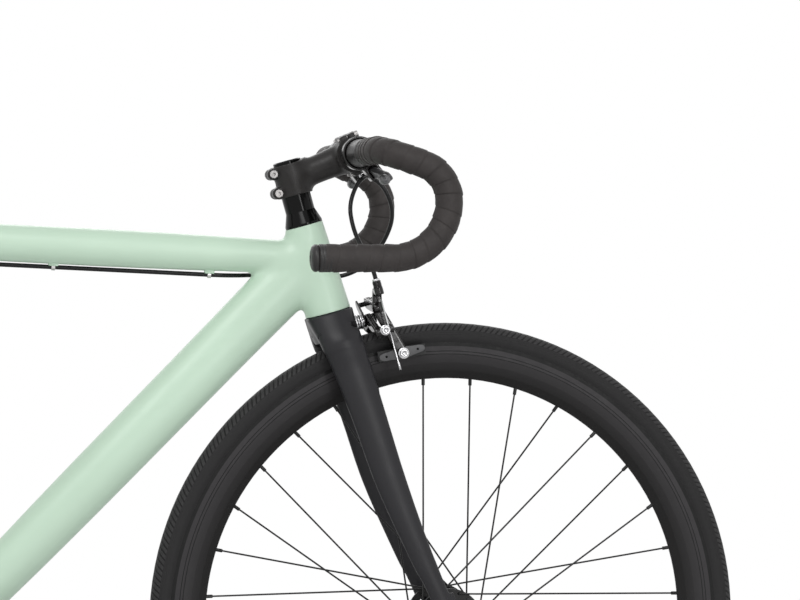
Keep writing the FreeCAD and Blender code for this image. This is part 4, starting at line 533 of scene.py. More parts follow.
HEAD_H, HEAD_LOW_R, HEAD_TOP_R, HEAD_PAST, HEAD_REACH = 0.102, 0.0262, 0.0214, 0.012, 0.034
SEAT_R, SHELL_R, SHELL_HALF, SEAT_JOINT, STUB_BORE_R = 0.017, 0.021, 0.034, 0.505, 0.0146
STUBS = SEAT_STUB, SHELL_STUB = (SEAT_JOINT - 0.055, SEAT_JOINT + 0.035), (0.0, 0.075)
HIDDEN, CAP_BEHIND, TINY = 0.00015, 0.004, 1e-9
TOP_START, TOP_END, TOP_LEN = up_steerer(0.0633), up_seat_tube(SEAT_JOINT), 0.5839
TOP_WAY = (TOP_END - TOP_START).normalized()
DOWN_START, DOWN_END = up_steerer(0.0668), BB + Vector((0, 0, 0.009))
TOP_RADII = np.polyfit((0, 0.6, 1), (0.01775, 0.02075, 0.0165), 2)
DOWN_AT = (0, 0.33, 0.72, 1)
DOWN_DEPTHS = np.polyfit(DOWN_AT, (0.034, 0.031, 0.02875, 0.0215), 3)
DOWN_WIDTHS = np.polyfit(DOWN_AT, (0.0205, 0.025, 0.027, 0.0215), 3)
BOSS_AT, BOSS_LEN, BOSS_HALF, BOSS_SUNK = (0.118, 0.294, 0.470), 0.011, 0.0045, 0.0025
CABLE_DROP, GROOVE_R, GROOVE_LIP = 0.02445, 0.00255, 0.0014


def oval_distance(deep, side, half_d, half_w):
    """Signed distance to an oval, in a slice across a tube."""
    k = np.hypot(deep / half_d, side / half_w) + TINY
    return k * (k - 1) / (np.hypot(deep / half_d ** 2, side / half_w ** 2) + TINY)


def tube_distance(points, start, end, depths, widths):
    """Signed distance to an oval tube; its half depth and half width are polynomials of the share along it."""
    start = np.array(start)
    axis = np.array(end) - start
    length = np.linalg.norm(axis)
    axis /= length
    rel = points - start
    along = rel @ axis
    share = np.clip(along / length, 0, 1)
    wall = oval_distance(rel @ np.cross(axis, (0, 1, 0)), rel[:, 1], np.polyval(depths, share),
                         np.polyval(widths, share))
    return np.maximum(wall, np.maximum(-along, along - length))


def measured(points, origin, *axes):
    """How far points lie from an origin along some axes, a row for each."""
    return np.array([(points - np.array(origin)) @ np.array(axis) for axis in axes])


def pin_distance(x, y, z, radius, half):
    """Signed distance to a round pin along Y."""
    return np.maximum(np.hypot(x, z) - radius, np.abs(y) - half)


def welded(a, b, blend):
    """Union of two distances with a rounded weld between them."""
    near = np.clip(blend - np.abs(a - b), 0, None)
    return np.minimum(a, b) - near ** 2 / (4 * blend)


def frame_distance(points):
    """Signed distance to the welded front triangle; what other pieces show stays just under their skin."""
    slope = (HEAD_TOP_R - HEAD_LOW_R) / HEAD_H
    head_radii = (slope * (HEAD_H + 2 * HEAD_PAST), HEAD_LOW_R - slope * HEAD_PAST)
    head = tube_distance(points, up_steerer(-HEAD_PAST), up_steerer(HEAD_H + HEAD_PAST), head_radii, head_radii)
    behind = measured(points, CROWN, STEER_FWD)[0] + CAP_BEHIND
    top = np.maximum(tube_distance(points, TOP_START, TOP_END, TOP_RADII, TOP_RADII), behind)
    down = np.maximum(tube_distance(points, DOWN_START, DOWN_END, DOWN_DEPTHS, DOWN_WIDTHS), behind)
    blend = size("weld_blend")
    whole = welded(head, welded(top, down, blend * 0.8), blend)
    hidden = (SEAT_R - HIDDEN,)
    for low, high in STUBS:
        stub = tube_distance(points, up_seat_tube(low), up_seat_tube(high), hidden, hidden)
        whole = welded(whole, stub, blend * 0.6)
    shell = pin_distance(*(points - np.array(BB)).T, SHELL_R - HIDDEN, SHELL_HALF - HIDDEN)
    return welded(whole, shell, blend * 0.6)


def settled(points, distance, rounds):
    """Moves points onto the surface where a distance is zero."""
    step, reach = 0.0002, 0.003
    for _ in range(rounds):
        d = np.clip(distance(points), -reach, reach)[:, None]
        slope = np.stack([(distance(points + e) - distance(points - e)) / (2 * step) for e in np.eye(3) * step], 1)
        points = points - d * slope / np.maximum((slope ** 2).sum(1), 0.2)[:, None]
    return points


def round_bar(bm, start, end, depth, width):
    """A closed oval bar from start to end."""
    matrix = frame_at((start + end) / 2, end - start, SIDE) @ Matrix.Diagonal((width, depth, 1, 1))
    bmesh.ops.create_cone(bm, cap_ends=True, segments=48, radius1=1, radius2=1, depth=(end - start).length,
                          matrix=matrix)


def cable_boss(where):
    """A block under the top tube with a groove that the cable lies in."""
    sunk = float(np.polyval(TOP_RADII, where / TOP_LEN)) - BOSS_SUNK
    matrix = frame_at(TOP_START + TOP_WAY * (where - BOSS_LEN / 2), TOP_WAY, SIDE)
    down = 1 if (matrix.to_3x3().col[1]).z < 0 else -1
    low = CABLE_DROP - GROOVE_LIP
    open_half = math.asin(math.sqrt(GROOVE_R ** 2 - GROOVE_LIP ** 2) / GROOVE_R)
    groove = [(GROOVE_R * math.sin(a), CABLE_DROP - GROOVE_R * math.cos(a))
              for a in np.linspace(open_half, -open_half, 9)]
    outline = [(-BOSS_HALF, sunk), (BOSS_HALF, sunk), (BOSS_HALF, low), *groove, (-BOSS_HALF, low)]
    bm = bmesh.new()
    bm.faces.new([bm.verts.new(matrix @ Vector((x, down * y, 0))) for x, y in outline])
    thickened(bm, TOP_WAY * BOSS_LEN)
    eased(bm, [e for e in bm.edges if abs((e.verts[0].co - e.verts[1].co).normalized().dot(TOP_WAY)) < 0.5
               and e.calc_length() > 0.0015])
    return bm


def on_surface(rough, voxel, distance, rounds):
    """Rough bars merged on a fine grid, then moved onto the true surface."""
    bm = as_bmesh(even_mesh(as_mesh(rough, "skin"), voxel))
    for count in rounds:
        smoothed(bm, 1)
        points = settled(np.array([v.co for v in bm.verts]), distance, count)
        for v, point in zip(bm.verts, points):
            v.co = point
    return bm


def frame_bars():
    """Rough bars where the front triangle's tubes run."""
    bm = bmesh.new()
    past, rear = STEER_UP * HEAD_PAST, (BB - CROWN).normalized() * 0.006
    round_bar(bm, CROWN - past, up_steerer(HEAD_H) + past, 0.024, 0.024)
    round_bar(bm, TOP_START + rear, TOP_END, 0.0195, 0.0195)
    round_bar(bm, DOWN_START + rear, DOWN_END, 0.0295, 0.0245)
    for low, high in STUBS:
        round_bar(bm, up_seat_tube(low), up_seat_tube(high), SEAT_R, SEAT_R)
    round_pin(bm, BB, SHELL_HALF, SHELL_R)
    return bm


def trimmed(bm, origin, outward, reach, depth=0.02):
    """Cuts a skin flat where it runs past a plane near a point, and closes it."""
    def is_near(point):
        past = (point - origin).dot(outward)
        return ((point - origin) - outward * past).length < reach and abs(past) < depth

    near = [f for f in bm.faces if all(is_near(v.co) for v in f.verts)]
    geom = near + list({e for f in near for e in f.edges}) + list({v for f in near for v in f.verts})
    bmesh.ops.bisect_plane(bm, geom=geom, plane_co=origin, plane_no=outward, clear_outer=True)
    capped(bm)


def bored(bm, origin, axis, heights, radius):
    """Opens both end faces of a stub round an axis and joins them by a bore."""
    for face in list(bm.faces):
        rel = [v.co - origin for v in face.verts]
        high = [r.dot(axis) for r in rel]
        if min((r - axis * h).length for r, h in zip(rel, high)) < radius and any(
                max(abs(h - end) for h in high) < 0.004 for end in heights):
            bm.faces.remove(face)
    bmesh.ops.delete(bm, geom=[v for v in bm.verts if not v.link_faces], context="VERTS")
    bmesh.ops.bridge_loops(bm, edges=[e for e in bm.edges if e.is_boundary])
    bmesh.ops.recalc_face_normals(bm, faces=bm.faces)


class BIKE_OT_frame_skin(bpy.types.Operator):
    """Head, top and down tubes as one painted skin with smooth welds and cable bosses"""

    bl_idname = "bike.frame_skin"
    bl_label = "Welded frame"

    def execute(self, context):
        bm = on_surface(frame_bars(), size("skin_voxel"), frame_distance, (6, 4, 4))
        trimmed(bm, CROWN, -STEER_UP, HEAD_REACH)
        trimmed(bm, up_steerer(HEAD_H), STEER_UP, HEAD_REACH)
        bored(bm, BB, SEAT_UP, SEAT_STUB, STUB_BORE_R)
        whole = joined([bm] + [cable_boss(where) for where in BOSS_AT])
        piece = finished(whole, "welded_tubes", "mint", "frame", replaces=("head_tube", "top_tube", "down_tube"))
        piece.data.set_sharp_from_angle(angle=SHARP)
        return {"FINISHED"}


# Bar tape.

BAR_CENTRE = Vector((0.388702, 0, 0.869564))
BAR_R, TAPE_R, TAPE_FROM, RAMP = 0.0119, 0.0146, 0.108, math.radians(20)
BAR_RUN, BEND_R, RAMP_RUN, HOOK_R, DROP_R, END_RUN = 0.166, 0.044, 0.00354, 0.042, 0.062, 0.084
WRAP = ((0, 0.0), (0.1, 0.3), (0.35, 0.62), (0.65, 0.86), (0.9, 1.0), (0.97, 0.86), (1.0, 0.0))
TURN_STEPS, BAND_STEPS = 40, 48
UNDER_TAPE_R, BAND_R, BAND_GROOVE, EDGE_RUN = BAR_R - 0.0003, TAPE_R + 0.0006, 0.0005, 0.003
STEM_BAND, STEM_RIDGES, END_BAND, END_RIDGES = (-0.002, 0.021), 8, (0.016, 0.003), 4


def bar_path(side):
    """The frame where the tape starts on one half of the bar, and the runs and bends from there."""
    out = Vector((0, side, 0))
    ramp = Vector((math.cos(RAMP), 0, -math.sin(RAMP)))
    start = frame_at(BAR_CENTRE + out * TAPE_FROM, out, ramp)
    steps = [(BAR_RUN - TAPE_FROM, 0, None), (BEND_R * math.pi / 2, BEND_R, out.cross(ramp)), (RAMP_RUN, 0, None),
             (HOOK_R * (math.pi / 2 - RAMP), HOOK_R, SIDE), (DROP_R * math.pi / 2, DROP_R, SIDE),
             (END_RUN, 0, None)]
    return start, steps, sum(step[0] for step in steps)


def tape_half(side):
    """Tape wound round one half of the bar, each turn lapping over the last."""
    start, steps, length = bar_path(side)
    length -= 0.002
    pitch, rise = size("tape_pitch"), size("tape_step")
    turns = math.ceil(length / pitch) + 2

    def place(column, row):
        share, lift = WRAP[column]
        turn = row / TURN_STEPS + share - 1
        run = pitch * turn + 0.0011 * math.sin(2.3 * turn + side) + 0.0007 * math.sin(5.1 * turn)
        over = max(-run, run - length, 0.0)
        edge = min(max(run, 0.0), max(length - run, 0.0), EDGE_RUN) / EDGE_RUN
        radius = TAPE_R + rise * lift * (1 + 0.25 * math.sin(3.7 * turn)) - 0.0012 * (1 - edge) ** 2
        radius += (UNDER_TAPE_R - radius) * min(1.0, over / (0.5 * pitch))
        angle = side * 2 * math.pi * (row / TURN_STEPS) + 0.9
        matrix = frame_along(start, steps, min(max(run, 0.0), length))
        return matrix @ Vector((radius * math.cos(angle), radius * math.sin(angle), 0))

    return wrapped(len(WRAP) - 1, turns * TURN_STEPS, place)


def tape_band(side, first, last, ridges):
    """Finishing tape: fine rings drawn tight over the tape's end."""
    start, steps, _ = bar_path(side)
    rows = [(first, UNDER_TAPE_R), (first, BAND_R - 0.0004)]
    width = (last - first) / ridges
    for i in range(ridges):
        low = first + width * i
        rows += [(low + width * 0.12, BAND_R), (low + width * 0.78, BAND_R),
                 (low + width * 0.9, BAND_R - BAND_GROOVE)]
    rows += [(last, BAND_R - 0.0004), (last, TAPE_R - 0.001)]

    def place(column, row):
        run, r = rows[column]
        angle = 2 * math.pi * row / BAND_STEPS
        matrix = frame_along(start, steps, run) if run >= 0 else start @ Matrix.Translation((0, 0, run))
        return matrix @ Vector((r * math.cos(angle), r * math.sin(angle), 0))

    return wrapped(len(rows) - 1, BAND_STEPS, place)


class BIKE_OT_bar_tape(bpy.types.Operator):
    """Tape wound round both halves of the drop bar, with its finishing bands"""

    bl_idname = "bike.bar_tape"
    bl_label = "Bar tape"

    def execute(self, context):
        finished(joined([tape_half(side) for side in (-1, 1)]), "tape_wraps", "tape", "steering",
                 replaces=("bar_tape",))
        length = bar_path(1)[2]
        bands = [tape_band(side, *STEM_BAND, STEM_RIDGES) for side in (-1, 1)]
        bands += [tape_band(side, *(length - back for back in END_BAND), END_RIDGES) for side in (-1, 1)]
        finished(joined(bands), "tape_bands", "band", "steering")
        return {"FINISHED"}


# Saddle.

SADDLE_GRID, SADDLE_SUNK, SEAM_SHARE, SEAM_HALF, SEAM_DEPTH = 0.004, 0.0011, 0.42, 0.004, 0.0012
HELD_H, SWELL_FORCE, SWELL_STEPS, SWELL_MOST = 0.008, 4, 20, 0.0045


class BIKE_OT_saddle(bpy.types.Operator):
    """Padded saddle cover, blown up under its skin and drawn in along its seam"""

    bl_idname = "bike.saddle"
    bl_label = "Saddle"

    def execute(self, context):
        low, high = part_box("saddle_cover")
        even = even_node("saddle_cover", SADDLE_GRID, 1e-5)
        pad = placed("scratch", even)
        points, normals = (np.array([getattr(v, key) for v in even.vertices]) for key in ("co", "normal"))
        rest = points - normals * SADDLE_SUNK
        even.vertices.foreach_set("co", rest.ravel())
        self.swell(context, pad, rest, low.z)
        subdivided = pad.modifiers.new("fine", "SUBSURF")
        subdivided.levels = subdivided.render_levels = 1
        fine = baked(pad)
        bpy.data.objects.remove(pad)
        seam_z = low.z + SEAM_SHARE * (high.z - low.z)
        for v in fine.vertices:
            gap = abs(v.co.z - seam_z)
            if gap < SEAM_HALF and abs(v.normal.z) < 0.85:
                v.co -= v.normal * SEAM_DEPTH * (1 - (gap / SEAM_HALF) ** 2)
        piece = linked(fine, "saddle_pad", "leather", "seat", replaces=("saddle_cover",))
        return {"FINISHED"}

    def swell(self, context, pad, rest, floor):
        """Blows the cover up, holding its underside, and caps how far it moves."""
        held = pad.vertex_groups.new(name="held")
        held.add([i for i, p in enumerate(rest) if p[2] < floor + HELD_H], 1.0, "REPLACE")
        cloth = pad.modifiers.new("swell", "CLOTH")
        cloth.settings.use_pressure = True
        cloth.settings.uniform_pressure_force = SWELL_FORCE
        cloth.settings.vertex_group_mass = "held"
        cloth.settings.effector_weights.gravity = 0
        for step in range(1, SWELL_STEPS + 1):
            context.scene.frame_set(step)
        swollen = baked(pad)
        moved = np.array([v.co for v in swollen.vertices]) - rest
        pad.modifiers.remove(cloth)
        context.scene.frame_set(1)
        reach = np.linalg.norm(moved, axis=1)[:, None]
        moved *= np.minimum(1.0, SWELL_MOST / np.maximum(reach, TINY))
        pad.data.vertices.foreach_set("co", (rest + moved).ravel())
        bpy.data.meshes.remove(swollen)


# Brake cables.


BARREL = Vector((409.243, -42, 728.987)) * MM
# Where the rear housing leaves the top tube and bends up to the rear brake.
REAR_BENDS = [Vector(spot) for spot in ((-0.226, 0.027, 0.7335), (-0.262, 0.0362, 0.7382), (-0.290, 0.0412, 0.750))]


def from_front(*rows):
    """Points in mm from the front axle."""
    return [FRONT_AXLE + Vector(row) * MM for row in rows]


def lever_exit(side):
    """Where a housing leaves its lever's bracket."""
    return Vector((406.9, side * 32.9, 847.0)) * MM


def housing(points):
    """A smooth round cable housing along a route."""
    data = bpy.data.curves.new("route", "CURVE")
    data.dimensions, data.bevel_depth, data.bevel_resolution = "3D", size("housing_d") / 2, 4
    data.use_fill_caps, data.resolution_u = True, 14
    spline = data.splines.new("NURBS")
    spline.points.add(len(points) - 1)
    for point, spot in zip(spline.points, points):
        point.co = (*spot, 1)
    spline.order_u, spline.use_endpoint_u = 3, True
    piece = placed("scratch", data)
    mesh = baked(piece)
    bpy.data.objects.remove(piece)
    return mesh


class BIKE_OT_cables(bpy.types.Operator):
    """Smooth brake housings from the levers to the front brake, and under the top tube to the rear one"""

    bl_idname = "bike.cables"
    bl_label = "Brake cables"

    def execute(self, context):
        right, left = lever_exit(-1), lever_exit(1)
        front = [right, right + SIDE * 0.022, *from_front((-100, 4, 500), (-110, 2, 474), (-108.5, -11, 450),
                                                          (-103, -25, 430)), BARREL + STEER_UP * 0.022, BARREL]
        linked(housing(front), "front_housing", "housing", "steering", replaces=("front_brake_housing",))
        end = TOP_START + TOP_WAY * (BOSS_AT[0] - 0.007) + TOP_WAY.cross(SIDE) * CABLE_DROP
        lead = [left, left - SIDE * 0.023, *from_front((-70, -2, 496), (-57, 4, 464), (-66, 16, 432), (-86, 32, 404),
                                                       (-112, 37.5, 391), (-150, 35, 390), (-200, 32, 394)),
                end - TOP_WAY * 0.016, end]
        piece = linked(housing(lead), "rear_lead", "housing", None, replaces=("rear_brake_lead",))
        tuple(lead[4])
        tuple(lead[8])
        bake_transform(piece)
        brake = brake_frame("rear")
        barrel = brake @ Vector((BARREL_OUT, WIRE_Y, BARREL_TOP))
        last_clip = end + TOP_WAY * (BOSS_AT[2] - BOSS_AT[0] + 0.007)
        rear = [end, last_clip + TOP_WAY * 0.008, last_clip + TOP_WAY * 0.026, *REAR_BENDS,
                barrel + brake.to_3x3().col[2] * 0.032, barrel]
        linked(housing(rear), "rear_housing", "housing", "frame", replaces=("rear_brake_housing",))
        return {"FINISHED"}


# Fork, stem, levers and brake arms: forged and moulded forms with rounded edges.


def smooth_between(x, xs, ys):
    """A smooth curve through stations (xs rising), read at x."""
    xs, ys = np.array(xs), np.array(ys)
    slope = np.gradient(ys, xs)
    i = np.clip(np.searchsorted(xs, x) - 1, 0, len(xs) - 2)
    gap = xs[i + 1] - xs[i]
    t = np.clip((x - xs[i]) / gap, 0, 1)
    return ((1 + 2 * t) * (1 - t) ** 2 * ys[i] + t * (1 - t) ** 2 * gap * slope[i]
            + t ** 2 * (3 - 2 * t) * ys[i + 1] + t ** 2 * (t - 1) * gap * slope[i + 1])


# Height up the steering axis, then each blade's forward and side place, half depth and half width.
BLADE_ROWS = np.array((
    (-352, 30.5, 54.5, 11.5, 5.75), (-290, 21, 52, 13.25, 7), (-200, 11, 46.5, 17.5, 8.25),
    (-120, 7.5, 40, 19.5, 9.5), (-70, 4.5, 35.5, 21.5, 11), (-26, 1, 29.5, 23.5, 13.5),
    (-12, 0.2, 20, 23.5, 13.5), (0, 0, 11, 23.5, 13.2))) * MM
# Height, then the crown's half length and half width.
CROWN_ROWS = np.array(((-34, 23.2, 40), (-16, 25.6, 32.5), (0, 26.2, 26.2))) * MM
ARCH_R, ARCH_HALF, TIP_FROM, TIP_TO, UNDER_HEAD = 0.348, 0.0225, -0.285, -0.32, -0.0015


def fork_distance(points):
    """Signed distance to the fork's crown and blades below the head tube."""
    up, forward, side = measured(points, CROWN, STEER_UP, STEER_FWD, SIDE)
    side = np.abs(side)
    ahead, out, half_d, half_w = (smooth_between(up, BLADE_ROWS[:, 0], row) for row in BLADE_ROWS.T[1:])
    blade = oval_distance(forward - ahead, side - out, half_d, half_w)
    length, width = (smooth_between(up, CROWN_ROWS[:, 0], row) for row in CROWN_ROWS.T[1:])
    crown = np.maximum(oval_distance(forward, side, length, width), CROWN_ROWS[0, 0] - up)
    arch = pin_distance(*(points - np.array(FRONT_AXLE)).T, ARCH_R, ARCH_HALF)
    return np.maximum(welded(crown, blade, 0.012), -arch)


class BIKE_OT_fork(bpy.types.Operator):
    """Fork whose crown flows into its blades"""

    bl_idname = "bike.fork"
    bl_label = "Fork"

    def execute(self, context):
        bm = softened("fork", 0.0017, 2)
        for turn, rounds in enumerate((6, 4, 4)):
            points = np.array([v.co for v in bm.verts])
            moved = settled(points, fork_distance, rounds)
            height = measured(points, CROWN, STEER_UP)[0]
            share = np.clip((height - TIP_TO) / (TIP_FROM - TIP_TO), 0, 1) * (height < UNDER_HEAD)
            for v, point, target, part in zip(bm.verts, points, moved, share):
                v.co = point + (target - point) * part
            if turn == 0:
                smoothed(bm, 1, [v for v, part in zip(bm.verts, share) if part > 0.5])
        piece = finished(bm, "fork_moulding", "fork", "steering", replaces=("fork",))
        piece.data.set_sharp_from_angle(angle=math.radians(55))
        return {"FINISHED"}


STEM_LOW, STEM_HIGH, CLAMP_R = 0.1378, 0.1743, 0.019
CLAMP_FROM, CLAMP_TO, STEM_MID = (up_steerer(h) for h in (STEM_LOW, STEM_HIGH, (STEM_LOW + STEM_HIGH) / 2))
LUG_R, LUG_BACK, LUG_HALF, LUG_SLOT = 0.0064, -0.0205, 0.012, 0.0012
LUG_AT = (STEM_LOW + 0.007, STEM_HIGH - 0.007)
STEM_WAY = (BAR_CENTRE - STEM_MID).normalized()
STEM_AXES = STEM_WAY, SIDE, SIDE.cross(STEM_WAY)
NECK_END = BAR_CENTRE - STEM_WAY * 0.008
NECK_AT = (0, 0.62, 1)
NECK_DEPTHS = np.polyfit(NECK_AT, (0.0172, 0.0162, 0.0186), 2)
NECK_WIDTHS = np.polyfit(NECK_AT, (0.0160, 0.0154, 0.0182), 2)
BAR_CLAMP_R, BAR_CLAMP_HALF, EAR_HALF, EAR_EDGE = 0.0205, 0.021, Vector((0.009, 0.021, 0.0239)), 0.003


def stem_distance(points):
    """Signed distance to the stem: two clamps, a neck and two pinch lugs."""
    clamp = tube_distance(points, CLAMP_FROM, CLAMP_TO, (CLAMP_R,), (CLAMP_R,))
    neck = tube_distance(points, STEM_MID, NECK_END, NECK_DEPTHS, NECK_WIDTHS)
    local = measured(points, BAR_CENTRE, *STEM_AXES)
    barrel = pin_distance(*local, BAR_CLAMP_R, BAR_CLAMP_HALF)
    past = np.abs(local.T) - np.array(EAR_HALF) + EAR_EDGE
    ears = np.linalg.norm(np.maximum(past, 0), axis=1) + np.minimum(past.max(1), 0) - EAR_EDGE
    whole = welded(welded(clamp, neck, 0.009), welded(barrel, ears, 0.004), 0.006)
    forward, side, up = measured(points, CROWN, STEER_FWD, SIDE, STEER_UP)
    for height in LUG_AT:
        lug = pin_distance(forward - LUG_BACK, side, up - height, LUG_R, LUG_HALF)
        whole = welded(whole, np.maximum(lug, LUG_SLOT - np.abs(side)), 0.003)
    return whole


class BIKE_OT_stem(bpy.types.Operator):
    """Stem with a flowing neck and rounded pinch lugs, and its faceplate"""

    bl_idname = "bike.stem"
    bl_label = "Stem"

    def execute(self, context):
        bm = bmesh.new()
        round_bar(bm, CLAMP_FROM, CLAMP_TO, CLAMP_R, CLAMP_R)
        round_bar(bm, STEM_MID, NECK_END, 0.0168, 0.016)
        round_pin(bm, BAR_CENTRE, BAR_CLAMP_HALF, BAR_CLAMP_R)
        ears = Matrix(STEM_AXES).transposed().to_4x4() @ Matrix.Diagonal((*EAR_HALF, 1))
        bmesh.ops.create_cube(bm, size=2, matrix=Matrix.Translation(BAR_CENTRE) @ ears)
        half = (LUG_HALF - LUG_SLOT) / 2
        for height in LUG_AT:
            for side in (-1, 1):
                centre = CROWN + STEER_FWD * LUG_BACK + STEER_UP * height + SIDE * side * (LUG_SLOT + half)
                round_pin(bm, centre, half, LUG_R)
        bm = on_surface(bm, 0.0013, stem_distance, (6, 4))
        trimmed(bm, BAR_CENTRE - STEM_WAY * 0.0008, STEM_WAY, 0.05, 0.03)
        piece = finished(bm, "stem_forging", "stem", "steering", replaces=("stem",))
        piece.data.set_sharp_from_angle(angle=SHARP)
        soft_piece("stem_faceplate", "faceplate", "stem", "steering", 0.0011, 4)
        return {"FINISHED"}


# Turned rows: distance along the axis, radius.
TIP_ROWS = [(0, 0), (0, 0.0054), (0.0015, 0.0060), (0.009, 0.0060), (0.0122, 0.0050), (0.0140, 0.0030), (0.0146, 0)]
PLUG_R = TAPE_R + 0.0002
PLUG_ROWS = [(-0.0018, 0.0), (-0.0018, PLUG_R - 0.0008), (-0.0010, PLUG_R), (0.0014, PLUG_R),
             (0.0030, PLUG_R - 0.0007), (0.0046, PLUG_R - 0.0025), (0.0058, PLUG_R - 0.006), (0.0062, 0.004),
             (0.0056, 0.0034), (0.0056, 0.0)]
COLLAR_ROWS = [(-0.0002, 0.0026), (-0.0002, 0.0038), (0.0006, 0.0042), (0.0022, 0.0042), (0.0028, 0.0036),
               (0.0050, 0.0036), (0.0056, 0.0042), (0.0072, 0.0042), (0.0080, 0.0034), (0.0080, 0.0026)]


class BIKE_OT_levers(bpy.types.Operator):
    """Rounded brake levers with their tips, brackets and housing collars, and the bar's end plugs"""

    bl_idname = "bike.levers"
    bl_label = "Levers and plugs"

    def execute(self, context):
        for word, side in (("right", -1), ("left", 1)):
            lever = word + "_lever"
            soft_piece(word + "_brake_lever", lever + "_blade", "grey", lever, 0.0009, 14)
            tip = frame_at(BAR_CENTRE + Vector((0.0195, side * 0.103, -0.0305)), SIDE * side, STEER_UP)
            finished(turned(TIP_ROWS, tip), lever + "_tip", "satin", lever)
        soft_piece("lever_brackets", "bracket_forgings", "caliper", "steering", 0.0009, 4)
        caps, collars = [], []
        for side in (-1, 1):
            caps.append(turned(PLUG_ROWS, frame_along(*bar_path(side)), 56))
            collars.append(turned(COLLAR_ROWS, frame_at(lever_exit(side), SIDE * -side, STEER_UP), 32))
        finished(joined(caps), "end_plugs", "band", "steering", replaces=("bar_end_plugs",), slot="black_plastic")
        finished(joined(collars), "lever_collars", "silver", "steering")
        return {"FINISHED"}


# Rim brakes.

# The pad holder's wing: half length, thickness, holes, and half heights at its middle, ends and hump.
WING_HALF, WING_THICK, WING_HOLE_X, WING_H = 0.0268, 0.0022, 0.0185, (0.0050, 0.0016, 0.0020)
WING_TURN = Matrix.Rotation(math.radians(-4), 4, "Y")
# Rows of a thin dark disc laid on the wing as painted shade where a hole is.
WING_HOLE_SHADE_ROWS = [(0, 0), (0, 0.0015), (0.0004, 0.0013), (0.0004, 0)]
PAD_OUT, PAD_Y, TRACK_R = 0.041, 0.0222, 0.310
# Each side's name, its direction, and where the pad's bolt sits on its arm.
ARMS = (("cable", -1, -0.0335), ("anchor", 1, 0.0265))
ANCHOR = Vector((0.0262, -0.038, -0.014))
BARREL_OUT, WIRE_Y, BARREL_TOP = 0.031, -0.042, 0.045
WIRE_R, WIRE_TOP, BORE_R, OFF_WIRE = 0.0008, 0.0255, 0.0019, 0.0034
WIRE_ROWS = [(-0.062, 0.0), (-0.062, 0.0013), (-0.0535, 0.0014), (-0.053, WIRE_R), (WIRE_TOP, WIRE_R),
             (WIRE_TOP, 0.0)]
RIB_FROM, RIB_PITCH, RIB_COUNT, RIB_R, RIB_ROOT_R = BARREL_TOP - 0.011, 0.0016, 5, 0.0050, 0.0044
CAP_FROM, CAP_TO = BARREL_TOP - 0.0032, BARREL_TOP - 0.0002
CAP_ROWS = [(CAP_FROM, BORE_R), (CAP_FROM, 0.0043), (BARREL_TOP - 0.0008, 0.0043), (CAP_TO, 0.0037), (CAP_TO, BORE_R),
            (CAP_FROM, BORE_R)]
# The pivot's washers: place, thickness and radius.
WASHERS = ((0.0006, 0.0034, 0.0090), (0.0044, 0.0022, 0.0082), (0.0070, 0.0026, 0.0088), (0.0100, 0.0014, 0.0080))
PIVOT_R, WASHER_EDGE, SEAT_CUT = 0.0035, 0.0004, -0.0485


def brake_frame(word):
    """A brake's frame: X out of its seat, Y towards the side pivot, Z up."""
    origin, pivot = (joint_point(word + name) for name in ("_anchor_arm_close", "_cable_arm_close"))
    out = Vector(JOINT[word + "_cable_arm_close"]["axis"])
    side = SIDE if pivot.y > 0 else -SIDE
    turn = Matrix((out, side, out.cross(side))).transposed().to_4x4()
    return Matrix.Translation(origin) @ turn


def socket_head(radius, height):
    """Rows of a round bolt head with a key socket."""
    edge = min(0.0006, height / 4)
    return [(0, 0), (0, radius), (height - edge, radius), (height, radius - edge), (height, radius * 0.55),
            (height * 0.4, radius * 0.5), (height * 0.4, 0)]


def washer(radius, height):
    return [(0, 0), (0, radius), (height * 0.7, radius), (height, radius - height * 0.3), (height, 0)]


def pivot_washer(thick, radius):
    """Rows of an open washer with one eased edge."""
    edge = WASHER_EDGE
    return [(0, PIVOT_R), (0, radius), (thick - edge, radius), (thick, radius - edge), (thick, PIVOT_R)]


def barrel_ribs():
    """Rows of the barrel adjuster's ribs round its bore."""
    rows = [(RIB_FROM, BORE_R)]
    for i in range(RIB_COUNT):
        z = RIB_FROM + RIB_PITCH * i
        rows += [(z, RIB_R), (z + 0.0011, RIB_R), (z + 0.0012, RIB_ROOT_R), (z + RIB_PITCH, RIB_ROOT_R)]
    return rows + [(BARREL_TOP - 0.003, BORE_R), rows[0]]


def pad_wing(matrix, side):
    """A pad holder's winged plate."""
    bm = bmesh.new()
    bmesh.ops.create_circle(bm, cap_ends=True, segments=56, radius=1)
    for v in bm.verts:
        x, z = v.co.x, v.co.y
        tall = WING_H[0] + WING_H[1] * abs(x) ** 2 + WING_H[2] * math.exp(-(x / 0.26) ** 2)
        v.co = Vector((math.copysign(abs(x) ** 0.8, x) * WING_HALF, 0, math.copysign(abs(z) ** 0.75, z) * tall))
    thickened(bm, (0, side * WING_THICK, 0))
    eased(bm, [e for e in bm.edges if len(e.link_faces) == 2 and any(len(f.verts) > 4 for f in e.link_faces)])
    bmesh.ops.transform(bm, matrix=matrix @ Matrix.Translation((0, side * PAD_Y, 0)) @ WING_TURN, verts=bm.verts)
    return bm


